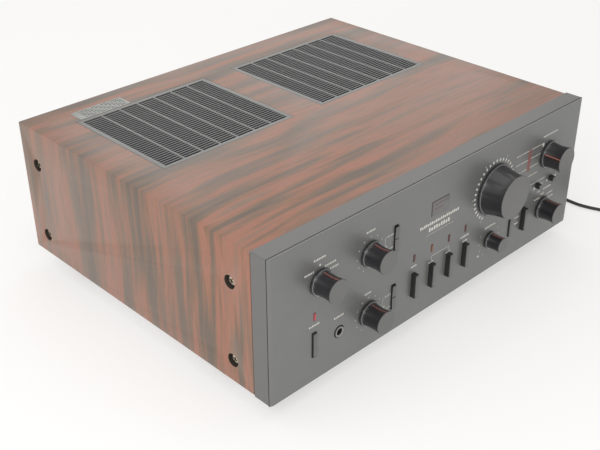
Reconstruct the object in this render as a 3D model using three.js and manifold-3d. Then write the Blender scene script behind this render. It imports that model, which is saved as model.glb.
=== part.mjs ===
// Integrated amplifier, full width, in a wood-grain cabinet. Millimetres, +Z up, front panel facing -Y.
// Origin: bottom centre of the amplifier's own box (the mains lead is left out of that box).
// Every piece is drawn with y = 0 on the front panel's face and z = 0 on the surface that the feet stand on.
import * as THREE from "three";
import Module from "manifold-3d";
import { mergeVertices } from "three/addons/utils/BufferGeometryUtils.js";

const wasm = await Module();
wasm.setup();

// ---------------------------------------------------------------- driving sizes
const GAP = 0.3; // between pieces that touch
const PANEL_WIDTH = 430;
const PANEL_HEIGHT = 141;
const PANEL_RIM = 1.7; // front plate at its edge
const PANEL_THICK = 4; // front plate inside the frame
const PANEL_BEVEL = 3; // width of the bevel down each side
const PANEL_BEVEL_DROP = 1.1; // how far back it falls
const FRAME_DEPTH = 19.5; // front face to the cabinet
const FRAME_WALL = 8;
const FOOT_HEIGHT = 17; // surface to the panel's lower edge
const FOOT_RADIUS = 20;
const CABINET_DEPTH = 331;
const CABINET_STEP = 1.6; // the cabinet lies this far inside the panel's upper and lower edge
const BOARD = 9; // cabinet board
const SHEET = 1.2; // chassis steel
const REAR_RECESS = 6; // rear panel behind the cabinet's rear edge
const TERMINAL_REACH = 16.4; // terminals beyond the cabinet's rear edge

const DRAWN_WIDTH = 430; // the control layout below is drawn for this width and height
const DRAWN_HEIGHT = 141;
const across = (x) => (x * PANEL_WIDTH) / DRAWN_WIDTH; // from the panel's middle
const up = (z) => FOOT_HEIGHT + (z * PANEL_HEIGHT) / DRAWN_HEIGHT; // from the panel's lower edge

// ---------------------------------------------------------------- places that follow from them
const PANEL_TOP = FOOT_HEIGHT + PANEL_HEIGHT;
const CABINET_TOP = PANEL_TOP - CABINET_STEP;
const CABINET_BOTTOM = FOOT_HEIGHT + CABINET_STEP;
const CABINET_FRONT = FRAME_DEPTH + GAP;
const CABINET_REAR = FRAME_DEPTH + CABINET_DEPTH;
const HALF = PANEL_WIDTH / 2;
const INSIDE = HALF - BOARD; // half width inside the cabinet
const CEILING = CABINET_TOP - BOARD;
const CHASSIS_HALF = INSIDE - GAP;
const SUBPANEL_FRONT = FRAME_DEPTH + 2.5;
const CHASSIS_FRONT = SUBPANEL_FRONT + SHEET + GAP;
const REAR_PANEL = CABINET_REAR - REAR_RECESS - SHEET; // its inner face
const FLOOR = CABINET_BOTTOM + SHEET; // top of the base tray's bottom

// ---------------------------------------------------------------- controls
const ROW_HIGH = 96.5;
const ROW_LOW = 35.8;
const SWITCH_HIGH = 97.4;
const SWITCH_LOW = 37.2;
const LENS_ROW = 65;
const BUTTON_ROW = 67;
const SHAFT_RADIUS = 3;
const SHAFT_FIT = 0.4; // round a turning shaft
const KNOB_STANDOFF = 0.8;
const MINI_KNOB = { flange: 8.9, base: 7.8, waist: 7.1, face: 7.7, height: 16.8, sides: 20 };
const SMALL_KNOB = { flange: 12.2, base: 10.8, waist: 9.8, face: 11, height: 20.5, sides: 20 };
const MIDDLE_KNOB = { flange: 14.3, base: 13, waist: 11.6, face: 13.5, height: 21.5, sides: 22 };
const LARGE_KNOB = { flange: 26, base: 24.5, waist: 21.2, face: 21.6, height: 24.1, sides: 28 };
const KNOBS = [
  { name: "speakers", x: -158.8, z: ROW_HIGH, size: SMALL_KNOB, turned: 0 },
  { name: "treble", x: -99.3, z: ROW_HIGH, size: SMALL_KNOB, turned: 0 },
  { name: "bass", x: -99.3, z: ROW_LOW, size: SMALL_KNOB, turned: 0 },
  { name: "volume", x: 73.7, z: 91, size: LARGE_KNOB, turned: -150 },
  { name: "balance", x: 74, z: ROW_LOW, size: MINI_KNOB, turned: 0 },
  { name: "input", x: 162.2, z: 97.1, size: MIDDLE_KNOB, turned: -70 },
  { name: "record", x: 163.5, z: ROW_LOW, size: SMALL_KNOB, turned: 0 },
];
const BAR = { width: 4.8, height: 24.5, out: 4.9, travel: 3.4, inside: 12, fit: 0.35 };
const PUSH_BARS = [
  { name: "power", x: -165.3, pressed: true },
  { name: "subsonic", x: -40.1, pressed: false },
  { name: "high_filter", x: -15.5, pressed: false },
  { name: "tone_defeat", x: 9.1, pressed: false },
  { name: "loudness", x: 33.7, pressed: false },
  { name: "muting", x: 108.4, pressed: true },
  { name: "mode", x: 128.9, pressed: false },
];
const ROCKER = { reach: 1.7, dip: 0.5, pivot: 6, pin: 1, pinLength: 9, tail: 17, fit: 1.1 };
const ROCKERS = [
  { name: "treble_turnover", x: -67.1, z: SWITCH_HIGH },
  { name: "bass_turnover", x: -67.1, z: SWITCH_LOW },
];
const BUTTON = { width: 5, height: 4.4, out: 5, travel: 2.5, inside: 10, fit: 0.35 };
const BUTTONS = [
  { name: "tape_button_left", x: 148.5 },
  { name: "tape_button_right", x: 172.5 },
];
const STEM = { width: 3, height: 8, end: 31, fit: 0.6 };
const JACK = { x: -135.6, z: 35.1, bore: 3.2, collar: 5.8, body: 8.5, end: 48, bottom: 44, proud: 0.8 };
const LENS = { width: 2, height: 7, proud: 0.6, fit: 0.35, strip: 2 };
const LENSES = [-164.9, -40.1, -15.5, 9.1, 33.7];
const CONTROL_BODY = { width: 20, front: CHASSIS_FRONT + 0.4, board: 44, blind: 13 };

// ---------------------------------------------------------------- top vents and cabinet screws
const GRILLE = { width: 157, depth: 136.5, fromRear: 40, x: 97.8, columns: 7, rows: 8, border: 5 };
const GRILLE_BAR = 2.2;
const GRILLE_SLAT = 1.6;
const GRILLE_FLANGE = { wider: 4, thick: 1.5 };
const SCREW_FROM_REAR = 24;
const SCREW_FROM_FRONT = 25;
const SCREW_FROM_TOP = 38.2;
const SCREW_FROM_BOTTOM = 21.8;
const SCREW = { hole: 6.3, sunk: 5, clearance: 2.4, head: 4.9, headHeight: 2.8, shank: 1.9, length: 14 };

// ---------------------------------------------------------------- rear
const SPEAKER_BLOCK = { x: 92, z: 74, width: 118, height: 46, post: 5.4, columns: 4, pitch: 27 };
const JACK_STRIP = { x: -104, z: 74, width: 168, height: 44, barrel: 4.2, columns: 7, pitch: 22, reach: 9.5 };
const CORD = { diameter: 3.6, exitX: 178, exitZ: 45, turns: 5, layers: 2, middle: 21.6 };
const RELIEF = { base: 7, tip: 2.8, length: 30, collar: 9.5, collarThick: 2.5 };
const PLUG = { nose: 18, noseRadius: 3.2, body: 32, width: 22, thick: 14.4, blade: 17, bladeGap: 12.7 };

// ---------------------------------------------------------------- materials
const finish = (color, roughness, metalness) =>
  new THREE.MeshStandardMaterial({ color, roughness, metalness });
const wood = finish(0x7a4a30, 0.45, 0);
const charcoal = finish(0x3c3c3b, 0.5, 0.4);
const grilleGrey = finish(0x3a3d40, 0.5, 0.3);
const steel = finish(0x8f9294, 0.4, 0.8);
const blackPaint = finish(0x1d1d1e, 0.5, 0.2);
const knobBlack = finish(0x17171a, 0.35, 0.2);
const brass = finish(0xa98a4e, 0.35, 0.9);
const rubber = finish(0x151515, 0.8, 0);
const board = finish(0x6b5a2c, 0.6, 0);
const aluminium = finish(0x9c9fa2, 0.4, 0.8);
const lensRed = finish(0x7a2018, 0.25, 0);
const sleeve = finish(0x1c2733, 0.4, 0);
const cordBlack = finish(0x141414, 0.6, 0);

// ---------------------------------------------------------------- geometry helpers
function closed(geometry) {
  const bare = geometry.index ? geometry.toNonIndexed() : geometry.clone();
  for (const name of Object.keys(bare.attributes)) {
    if (name !== "position") bare.deleteAttribute(name);
  }
  const merged = mergeVertices(bare, 1e-4);
  const at = merged.attributes.position.array;
  const whole = [];
  let six = 0; // six times the signed volume
  for (let i = 0; i < merged.index.count; i += 3) {
    const [a, b, c] = [0, 1, 2].map((k) => merged.index.array[i + k]);
    if (a === b || b === c || c === a) continue;
    whole.push(a, b, c);
    const [p, q, r] = [a, b, c].map((k) => new THREE.Vector3().fromArray(at, 3 * k));
    six += p.dot(q.cross(r));
  }
  if (six < 0) whole.reverse();
  merged.setIndex(whole);
  return merged;
}

function solid(geometry) {
  const shape = closed(geometry);
  return new wasm.Manifold(
    new wasm.Mesh({
      numProp: 3,
      vertProperties: new Float32Array(shape.attributes.position.array),
      triVerts: new Uint32Array(shape.index.array),
    }),
  );
}

function surface(manifold) {
  const mesh = manifold.getMesh();
  return new THREE.BufferGeometry()
    .setAttribute("position", new THREE.BufferAttribute(mesh.vertProperties, 3))
    .setIndex(new THREE.BufferAttribute(mesh.triVerts, 1));
}

// The first solid with the others joined to it, or cut from it.
const joined = (first, ...more) => surface(more.reduce((a, b) => a.add(solid(b)), solid(first)));
const cut = (first, ...tools) => surface(tools.reduce((a, b) => a.subtract(solid(b)), solid(first)));

function box([x0, x1], [y0, y1], [z0, z1]) {
  const geometry = new THREE.BoxGeometry(x1 - x0, y1 - y0, z1 - z0);
  return geometry.translate((x0 + x1) / 2, (y0 + y1) / 2, (z0 + z1) / 2);
}

const around = (middle, size) => [middle - size / 2, middle + size / 2];

// A cylinder along Y from y0 to y1.
function rod(x, z, radius, y0, y1, sides = 12) {
  const geometry = new THREE.CylinderGeometry(radius, radius, y1 - y0, sides);
  return geometry.translate(0, (y0 + y1) / 2, 0).translate(x, 0, z);
}

// A profile of [radius, y] points turned about the Y axis.
function turnedY(profile, sides) {
  return new THREE.LatheGeometry(
    profile.map(([r, y]) => new THREE.Vector2(r, y)),
    sides,
  );
}

// An outline in X and Z, extruded from y0 to y1.
function extrudedY(shape, y0, y1) {
  const geometry = new THREE.ExtrudeGeometry(shape, { depth: y1 - y0, bevelEnabled: false });
  return geometry.rotateX(Math.PI / 2).translate(0, y1, 0);
}

const amplifier = new THREE.Group();
const drawn = new THREE.Group(); // everything, with y = 0 on the front face
amplifier.add(drawn);

function add(name, geometry, material) {
  const mesh = new THREE.Mesh(geometry, material);
  mesh.name = name;
  drawn.add(mesh);
  return mesh;
}

// ---------------------------------------------------------------- cabinet
function cabinetShell() {
  const outline = new THREE.Shape([
    new THREE.Vector2(-HALF, CABINET_BOTTOM),
    new THREE.Vector2(-INSIDE, CABINET_BOTTOM),
    new THREE.Vector2(-INSIDE, CEILING),
    new THREE.Vector2(INSIDE, CEILING),
    new THREE.Vector2(INSIDE, CABINET_BOTTOM),
    new THREE.Vector2(HALF, CABINET_BOTTOM),
    new THREE.Vector2(HALF, CABINET_TOP),
    new THREE.Vector2(-HALF, CABINET_TOP),
  ]);
  const tools = [-1, 1].map((side) => {
    const rear = CABINET_REAR - GRILLE.fromRear;
    return box(
      around(side * across(GRILLE.x), GRILLE.width + 2 * GAP),
      [rear - GRILLE.depth - GAP, rear + GAP],
      [CEILING - 1, CABINET_TOP + 1],
    );
  });
  for (const { side, y, z } of screwPlaces()) {
    const place = (geometry) => geometry.rotateZ(Math.PI / 2).translate(0, y, z);
    const sunk = new THREE.CylinderGeometry(SCREW.hole, SCREW.hole, 2 * SCREW.sunk, 16);
    const through = new THREE.CylinderGeometry(SCREW.clearance, SCREW.clearance, 3 * BOARD, 10);
    tools.push(place(sunk).translate(side * HALF, 0, 0));
    tools.push(place(through).translate(side * HALF, 0, 0));
  }
  return cut(extrudedY(outline, CABINET_FRONT, CABINET_REAR), ...tools);
}

function screwPlaces() {
  const places = [];
  for (const side of [-1, 1]) {
    for (const y of [CABINET_REAR - SCREW_FROM_REAR, CABINET_FRONT + SCREW_FROM_FRONT]) {
      for (const z of [CABINET_TOP - SCREW_FROM_TOP, CABINET_BOTTOM + SCREW_FROM_BOTTOM]) {
        places.push({ side, y, z });
      }
    }
  }
  return places;
}

// A pan-head screw along X, its head seated in the counterbore.
function cabinetScrew(side, y, z) {
  const seat = -GAP; // under the head, measured outwards from the counterbore's floor
  const profile = [
    [0, seat - SCREW.length],
    [SCREW.shank, seat - SCREW.length],
    [SCREW.shank, 2 * GAP],
    [SCREW.head, 2 * GAP],
    [SCREW.head * 0.9, SCREW.headHeight * 0.7],
    [SCREW.head * 0.5, SCREW.headHeight],
    [0, SCREW.headHeight],
  ];
  const geometry = turnedY(profile, 12).rotateZ((-side * Math.PI) / 2);
  return geometry.translate(side * (HALF - SCREW.sunk), y, z);
}

function ventGrille(side) {
  const x = side * across(GRILLE.x);
  const rear = CABINET_REAR - GRILLE.fromRear;
  const ys = [rear - GRILLE.depth, rear];
  const plate = box(around(x, GRILLE.width), ys, [CEILING - 2 * GAP, CABINET_TOP]);
  const { wider, thick } = GRILLE_FLANGE;
  const flange = box(
    around(x, GRILLE.width + 2 * wider),
    [ys[0] - wider, ys[1] + wider],
    [CEILING - thick - GAP, CEILING - GAP],
  );
  const columnPitch = (GRILLE.width - 2 * GRILLE.border + GRILLE_BAR) / GRILLE.columns;
  const rowPitch = (GRILLE.depth - 2 * GRILLE.border + GRILLE_SLAT) / GRILLE.rows;
  const slots = [];
  for (let i = 0; i < GRILLE.columns; i++) {
    for (let j = 0; j < GRILLE.rows; j++) {
      const x0 = x - GRILLE.width / 2 + GRILLE.border + i * columnPitch;
      const y0 = ys[0] + GRILLE.border + j * rowPitch;
      slots.push(
        box([x0, x0 + columnPitch - GRILLE_BAR], [y0, y0 + rowPitch - GRILLE_SLAT], [CEILING - 5, PANEL_TOP]),
      );
    }
  }
  return cut(joined(plate, flange), ...slots);
}

add("cabinet_shell", cabinetShell(), wood);
screwPlaces().forEach(({ side, y, z }, i) => {
  const name = "cabinet_screw_" + (side < 0 ? "left_" : "right_") + ((i % 4) + 1);
  add(name, cabinetScrew(side, y, z), brass);
});
add("vent_grille_left", ventGrille(-1), grilleGrey);
add("vent_grille_right", ventGrille(1), grilleGrey);

// ---------------------------------------------------------------- front
// Cutting tools for the openings that every front plate has, from y0 to y1.
function controlHoles(y0, y1, knobHole, stemOnly) {
  const slot = (x, z, width, height) =>
    box(around(across(x), width), [y0, y1], around(up(z), height));
  const holes = KNOBS.map(({ x, z }) => rod(across(x), up(z), knobHole, y0, y1, 16));
  for (const { x } of PUSH_BARS) {
    const { width, height, fit } = stemOnly ? STEM : BAR;
    holes.push(slot(x, SWITCH_LOW, width + 2 * fit, height + 2 * fit));
  }
  for (const { x, z } of ROCKERS) {
    if (stemOnly) continue;
    holes.push(slot(x, z, BAR.width + 2 * BAR.fit, BAR.height + 2 * ROCKER.fit));
  }
  for (const { x } of BUTTONS) {
    const width = stemOnly ? STEM.width : BUTTON.width;
    const height = stemOnly ? STEM.width : BUTTON.height;
    const fit = stemOnly ? STEM.fit : BUTTON.fit;
    holes.push(slot(x, BUTTON_ROW, width + 2 * fit, height + 2 * fit));
  }
  holes.push(rod(across(JACK.x), up(JACK.z), JACK.collar + SHAFT_FIT, y0, y1, 20));
  return holes;
}

function frontPlate() {
  const tools = controlHoles(-1, PANEL_THICK + 1, SHAFT_RADIUS + SHAFT_FIT, false);
  const { width, height, fit } = LENS;
  for (const x of LENSES) {
    const zs = around(up(LENS_ROW), height + 2 * fit);
    tools.push(box(around(across(x), width + 2 * fit), [-1, PANEL_THICK + 1], zs));
  }
  for (const side of [-1, 1]) {
    const bevel = box([-3 * PANEL_BEVEL, 3 * PANEL_BEVEL], [-6, 0], [FOOT_HEIGHT - 1, PANEL_TOP + 1]);
    bevel.rotateZ(side * Math.atan2(PANEL_BEVEL_DROP, PANEL_BEVEL));
    tools.push(bevel.translate(side * (HALF - PANEL_BEVEL), 0, 0));
  }
  const inner = HALF - FRAME_WALL - GAP;
  const rim = box([-HALF, HALF], [0, PANEL_RIM], [FOOT_HEIGHT, PANEL_TOP]);
  const zs = [FOOT_HEIGHT + FRAME_WALL + GAP, PANEL_TOP - FRAME_WALL - GAP];
  const thick = box([-inner, inner], [PANEL_RIM - 0.5, PANEL_THICK], zs);
  return cut(joined(rim, thick), ...tools);
}

function frontFrame() {
  const inner = HALF - FRAME_WALL;
  const outside = box([-HALF, HALF], [PANEL_RIM + GAP, FRAME_DEPTH], [FOOT_HEIGHT, PANEL_TOP]);
  const zs = [FOOT_HEIGHT + FRAME_WALL, PANEL_TOP - FRAME_WALL];
  return cut(outside, box([-inner, inner], [0, FRAME_DEPTH + 1], zs));
}

function frontSubpanel() {
  const rear = SUBPANEL_FRONT + SHEET;
  const zs = [CABINET_BOTTOM + GAP, CEILING - GAP];
  const plate = box([-CHASSIS_HALF, CHASSIS_HALF], [SUBPANEL_FRONT, rear], zs);
  return cut(plate, ...controlHoles(SUBPANEL_FRONT - 1, rear + 1, SHAFT_RADIUS + 2 * SHAFT_FIT, true));
}

// Light guide behind the front plate: one strip with a post up each indicator window.
function indicatorLenses() {
  const behind = PANEL_THICK + GAP;
  const ends = [across(LENSES[0]) - 3, across(LENSES[LENSES.length - 1]) + 3];
  const strip = box(ends, [behind, behind + LENS.strip], around(up(LENS_ROW), LENS.height + 2));
  const posts = LENSES.map((x) =>
    box(around(across(x), LENS.width), [-LENS.proud, behind + 1], around(up(LENS_ROW), LENS.height)),
  );
  return joined(strip, ...posts);
}

function headphoneJack() {
  const profile = [
    [0, JACK.bottom],
    [JACK.bore, JACK.bottom],
    [JACK.bore, -JACK.proud],
    [JACK.collar, -JACK.proud],
    [JACK.collar, CONTROL_BODY.front],
    [JACK.body, CONTROL_BODY.front],
    [JACK.body, JACK.end],
    [0, JACK.end],
  ];
  return turnedY(profile, 20).translate(across(JACK.x), 0, up(JACK.z));
}

add("front_panel", frontPlate(), charcoal);
add("front_frame", frontFrame(), charcoal);
add("front_subpanel", frontSubpanel(), steel);
add("indicator_lenses", indicatorLenses(), lensRed);
add("headphone_jack", headphoneJack(), aluminium);

// ---------------------------------------------------------------- knobs and shafts
// Base flange, bright ring, waist that flares to the face, and a blind bore for the shaft.
function knob({ x, z, size, turned }) {
  const { flange, base, waist, face, height, sides } = size;
  const bore = SHAFT_RADIUS + GAP;
  const profile = [
    [bore, -KNOB_STANDOFF],
    [flange, -KNOB_STANDOFF],
    [flange, -2.6],
    [flange - 0.5, -3.2],
    [base, -3.4],
    [0.4 * base + 0.6 * waist, -height * 0.32],
    [waist, -height * 0.55],
    [0.55 * waist + 0.45 * face, -height * 0.8],
    [face, -height + 0.5],
    [face - 0.5, -height],
    [0, -height],
    [0, -height + 4],
    [bore, -height + 4],
    [bore, -KNOB_STANDOFF],
  ];
  const pointer = box([-0.6, 0.6], [-height - 1, -3.6], [face - 0.9, face + 2]);
  const geometry = cut(turnedY(profile, sides), pointer);
  return geometry.rotateY((turned * Math.PI) / 180).translate(across(x), 0, up(z));
}

for (const control of KNOBS) {
  const { name, x, z, size } = control;
  const deepest = CONTROL_BODY.front + CONTROL_BODY.blind - 1;
  add(name + "_knob", knob(control), knobBlack);
  add(name + "_shaft", rod(across(x), up(z), SHAFT_RADIUS, -size.height + 5, deepest), aluminium);
}

// ---------------------------------------------------------------- switch bars and buttons
function pushBar({ x, pressed }) {
  const z = up(SWITCH_LOW);
  const shift = pressed ? BAR.travel : 0;
  const cap = box(around(across(x), BAR.width), [-BAR.out, BAR.inside], around(z, BAR.height));
  const stem = box(around(across(x), STEM.width), [BAR.inside - 1, STEM.end], around(z, STEM.height));
  return joined(cap, stem).translate(0, shift, 0);
}

// See-saw bar: shallow V across its face, a pivot pin behind the plate and a short tail.
function rocker({ x, z }) {
  const half = BAR.height / 2;
  const side = new THREE.Shape([
    new THREE.Vector2(-ROCKER.reach, -half),
    new THREE.Vector2(8, -half),
    new THREE.Vector2(8, half),
    new THREE.Vector2(-ROCKER.reach, half),
    new THREE.Vector2(-ROCKER.reach + ROCKER.dip, 0),
  ]);
  const cap = new THREE.ExtrudeGeometry(side, { depth: BAR.width, bevelEnabled: false });
  cap.translate(0, 0, -BAR.width / 2).rotateY(Math.PI / 2).rotateX(Math.PI / 2);
  const pin = new THREE.CylinderGeometry(ROCKER.pin, ROCKER.pin, ROCKER.pinLength, 8);
  pin.rotateZ(Math.PI / 2).translate(0, ROCKER.pivot, 0);
  const tail = box([-1.5, 1.5], [7, ROCKER.tail], [-2.5, 2.5]);
  return joined(cap, pin, tail).translate(across(x), 0, up(z));
}

function pushButton({ x }) {
  const z = up(BUTTON_ROW);
  const cap = box(around(across(x), BUTTON.width), [-BUTTON.out, BUTTON.inside], around(z, BUTTON.height));
  const stem = box(around(across(x), STEM.width), [BUTTON.inside - 1, STEM.end], around(z, STEM.width));
  return joined(cap, stem);
}

for (const bar of PUSH_BARS) add(bar.name + "_bar", pushBar(bar), knobBlack);
for (const bar of ROCKERS) add(bar.name + "_rocker", rocker(bar), knobBlack);
for (const button of BUTTONS) add(button.name, pushButton(button), knobBlack);

// ---------------------------------------------------------------- control board with pots and switches
function controlBoard() {
  const { width, front, board: at, blind } = CONTROL_BODY;
  const sheet = box([-INSIDE + 14, INSIDE - 14], [at, at + 1.6], [FLOOR + 6, CEILING - 8]);
  const bodies = [];
  const sockets = [rod(across(JACK.x), up(JACK.z), JACK.body + 1, at - 1, at + 3, 20)];
  for (const { x, z } of KNOBS) {
    bodies.push(box(around(across(x), width), [front, at + 0.5], around(up(z), width)));
    sockets.push(rod(across(x), up(z), SHAFT_RADIUS + SHAFT_FIT, front - 1, front + blind));
  }
  const pushed = BAR.travel + 2;
  const housing = (x, z, stemHeight) => {
    bodies.push(box(around(x, 9), [front, at + 0.5], around(z, stemHeight + 6)));
    const reach = STEM.end + pushed;
    const opening = stemHeight + 2 * STEM.fit;
    sockets.push(box(around(x, STEM.width + 2 * STEM.fit), [front - 1, reach], around(z, opening)));
  };
  for (const { x } of PUSH_BARS) housing(across(x), up(SWITCH_LOW), STEM.height);
  for (const { x } of BUTTONS) housing(across(x), up(BUTTON_ROW), STEM.width);
  return cut(joined(sheet, ...bodies), ...sockets);
}

add("control_board", controlBoard(), board);

// ---------------------------------------------------------------- chassis and feet
const FOOT_X = HALF - 33;
const FOOT_FROM_END = 56;
const FEET = [
  ["front_left", -FOOT_X, CABINET_FRONT + FOOT_FROM_END],
  ["front_right", FOOT_X, CABINET_FRONT + FOOT_FROM_END],
  ["rear_left", -FOOT_X, CABINET_REAR - FOOT_FROM_END],
  ["rear_right", FOOT_X, CABINET_REAR - FOOT_FROM_END],
];

function baseTray() {
  const wallTop = CEILING - 14;
  const outer = CHASSIS_HALF;
  const outline = new THREE.Shape([
    new THREE.Vector2(-outer, CABINET_BOTTOM),
    new THREE.Vector2(outer, CABINET_BOTTOM),
    new THREE.Vector2(outer, wallTop),
    new THREE.Vector2(outer - SHEET, wallTop),
    new THREE.Vector2(outer - SHEET, FLOOR),
    new THREE.Vector2(-outer + SHEET, FLOOR),
    new THREE.Vector2(-outer + SHEET, wallTop),
    new THREE.Vector2(-outer, wallTop),
  ]);
  const tools = screwPlaces().map(({ side, y, z }) =>
    new THREE.CylinderGeometry(SCREW.clearance, SCREW.clearance, 4 * SHEET, 10)
      .rotateZ(Math.PI / 2)
      .translate(side * CHASSIS_HALF, y, z),
  );
  const ventLength = 50;
  const middle = (CABINET_FRONT + CABINET_REAR) / 2;
  for (const x of [-140, -70, 0, 70, 140]) {
    for (const y of [middle - 60, middle + 60]) {
      tools.push(box(around(across(x), 5), around(y, ventLength), [CABINET_BOTTOM - 1, FLOOR + 1]));
    }
  }
  return cut(extrudedY(outline, CHASSIS_FRONT, REAR_PANEL - GAP), ...tools);
}

function foot(x, y) {
  const top = CABINET_BOTTOM - GAP;
  const profile = [
    [0, 3],
    [FOOT_RADIUS - 6, 3],
    [FOOT_RADIUS - 5, 0],
    [FOOT_RADIUS - 1.5, 0],
    [FOOT_RADIUS, 2],
    [FOOT_RADIUS - 1, top],
    [0, top],
  ];
  return turnedY(profile, 20).rotateX(Math.PI / 2).translate(x, y, 0);
}

function rearPanel() {
  const ys = [REAR_PANEL, REAR_PANEL + SHEET];
  const plate = box([-CHASSIS_HALF, CHASSIS_HALF], ys, [CABINET_BOTTOM + GAP, CEILING - GAP]);
  const through = [REAR_PANEL - 1, REAR_PANEL + SHEET + 1];
  const windows = [SPEAKER_BLOCK, JACK_STRIP].map((item) =>
    box(around(item.x, item.width - 8), through, around(up(item.z), item.height - 8)),
  );
  return cut(plate, ...windows, rod(CORD.exitX, CORD.exitZ, RELIEF.base + 2 * GAP, ...through, 20));
}

add("base_tray", baseTray(), steel);
add("rear_panel", rearPanel(), blackPaint);
for (const [name, x, y] of FEET) add("foot_" + name, foot(x, y), rubber);

// ---------------------------------------------------------------- rear terminals
const REAR_FACE = REAR_PANEL + SHEET + GAP;
const PLATE_OUT = REAR_FACE + 4;

function speakerTerminals() {
  const { x, z, width, height, post, columns, pitch } = SPEAKER_BLOCK;
  const plate = box(around(x, width), [REAR_FACE, PLATE_OUT], around(up(z), height));
  const behind = box(around(x, width - 12), [REAR_PANEL - 10, REAR_FACE + 1], around(up(z), height - 12));
  const posts = [];
  for (let i = 0; i < columns; i++) {
    for (const row of [-1, 1]) {
      const at = x + (i - (columns - 1) / 2) * pitch;
      posts.push(rod(at, up(z) + row * 11, post, PLATE_OUT - 1, CABINET_REAR + TERMINAL_REACH, 10));
    }
  }
  return joined(plate, behind, ...posts);
}

function inputJackStrip() {
  const { x, z, width, height, barrel, columns, pitch, reach } = JACK_STRIP;
  const plate = box(around(x, width), [REAR_FACE, PLATE_OUT - 2], around(up(z), height));
  const behind = box(around(x, width - 12), [REAR_PANEL - 12, REAR_FACE + 1], around(up(z), height - 12));
  const barrels = [];
  for (let i = 0; i < columns; i++) {
    for (const row of [-1, 1]) {
      const at = x + (i - (columns - 1) / 2) * pitch;
      barrels.push(rod(at, up(z) + row * 10, barrel, PLATE_OUT - 3, PLATE_OUT - 2 + reach, 10));
    }
  }
  return joined(plate, behind, ...barrels);
}

add("speaker_terminals", speakerTerminals(), blackPaint);
add("input_jack_strip", inputJackStrip(), blackPaint);

// ---------------------------------------------------------------- inside
const TRANSFORMER = { width: 104, depth: 88, height: 84, front: 62 };
const CAPACITOR = { radius: 22, height: 78, x: 92, y: 104 };
const HEATSINK = { x: 113, width: 106, fromRear: 48, depth: 118, base: 34, fin: 2.4, fins: 9 };
const MAIN_BOARD = { fromRear: 14, clear: 3.3, lift: 8, thick: 1.6 };

function transformer() {
  const { width, depth, height, front } = TRANSFORMER;
  const bottom = FLOOR + GAP;
  const core = box([-width / 2, width / 2], [front, front + depth], [bottom, bottom + height]);
  const flange = box([-width / 2 - 10, width / 2 + 10], [front, front + depth], [bottom, bottom + 3]);
  return joined(core, flange);
}

function capacitor(x) {
  const { radius, height, y } = CAPACITOR;
  const bottom = FLOOR + GAP;
  const profile = [
    [0, bottom],
    [radius, bottom],
    [radius, bottom + height - 2],
    [radius - 2, bottom + height],
    [0, bottom + height],
  ];
  return turnedY(profile, 16).rotateX(Math.PI / 2).translate(x, y, 0);
}

// A back plate with upright fins that run front to back.
function heatsink(side) {
  const { x, width, fromRear, depth, base, fin, fins } = HEATSINK;
  const ys = [CABINET_REAR - fromRear - depth, CABINET_REAR - fromRear];
  const middle = side * across(x);
  const zs = [base, CEILING - 16];
  const plate = box(around(middle, width), ys, [zs[0], zs[0] + 6]);
  const blades = [];
  for (let i = 0; i < fins; i++) {
    const at = middle - width / 2 + fin / 2 + (i * (width - fin)) / (fins - 1);
    blades.push(box(around(at, fin), ys, [zs[0] + 5, zs[1]]));
  }
  return joined(plate, ...blades);
}

function mainBoard() {
  const { fromRear, clear, lift, thick } = MAIN_BOARD;
  const rear = REAR_PANEL - fromRear;
  const front = TRANSFORMER.front + TRANSFORMER.depth + clear;
  const sheet = box([-INSIDE + 8, INSIDE - 8], [front, rear], [FLOOR + lift, FLOOR + lift + thick]);
  const parts = [-30, 0, 30].map((x) =>
    box(around(x, 14), around(rear - 60, 70), [FLOOR + lift + 1, FLOOR + lift + 22]),
  );
  return joined(sheet, ...parts);
}

add("power_transformer", transformer(), blackPaint);
add("filter_capacitor_left", capacitor(-CAPACITOR.x), sleeve);
add("filter_capacitor_right", capacitor(CAPACITOR.x), sleeve);
add("heatsink_left", heatsink(-1), blackPaint);
add("heatsink_right", heatsink(1), blackPaint);
add("main_board", mainBoard(), board);

// ---------------------------------------------------------------- mains lead
const LEAD = CORD.diameter / 2;
const LYING = LEAD + 0.1; // centreline of a stretch that lies on the surface
const EXIT_Y = REAR_FACE + RELIEF.length + GAP;
// Straight out of the strain relief, down, round the rear corner, forward along the right side.
const ROUTE = [
  [CORD.exitX, EXIT_Y, CORD.exitZ],
  [CORD.exitX, EXIT_Y + 10, CORD.exitZ - 0.6],
  [CORD.exitX + 1, EXIT_Y + 20, CORD.exitZ - 5],
  [CORD.exitX + 3, EXIT_Y + 28, CORD.exitZ - 14],
  [CORD.exitX + 6, EXIT_Y + 33.5, CORD.exitZ - 25],
  [CORD.exitX + 10.5, EXIT_Y + 37.5, 10],
  [CORD.exitX + 17.5, EXIT_Y + 40.5, 3.6],
  [CORD.exitX + 28, EXIT_Y + 41.5, LYING],
  [CORD.exitX + 42, EXIT_Y + 39, LYING],
  [CORD.exitX + 56, EXIT_Y + 32, LYING],
  [CORD.exitX + 68, EXIT_Y + 20, LYING],
  [256, 378, LYING],
  [263, 352, LYING],
  [267, 320, LYING],
  [270, 280, LYING],
  [273.5, 235, LYING],
  [277.5, 190, LYING],
  [280.5, 145, LYING],
  [281.5, 100, LYING],
  [280, 62, LYING],
  [278.8, 34, LYING],
  [278.9, 20, LYING],
  [281.6, 8, LYING],
  [286, -4, LYING],
  [290.6, -15.6, LYING],
  [294.8, -27.6, LYING],
];
const COIL = { x: 326.9, y: -33.5 };
const TAIL_ANGLE = (197.5 * Math.PI) / 180; // where the lead meets the coil and leaves it for the plug

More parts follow.
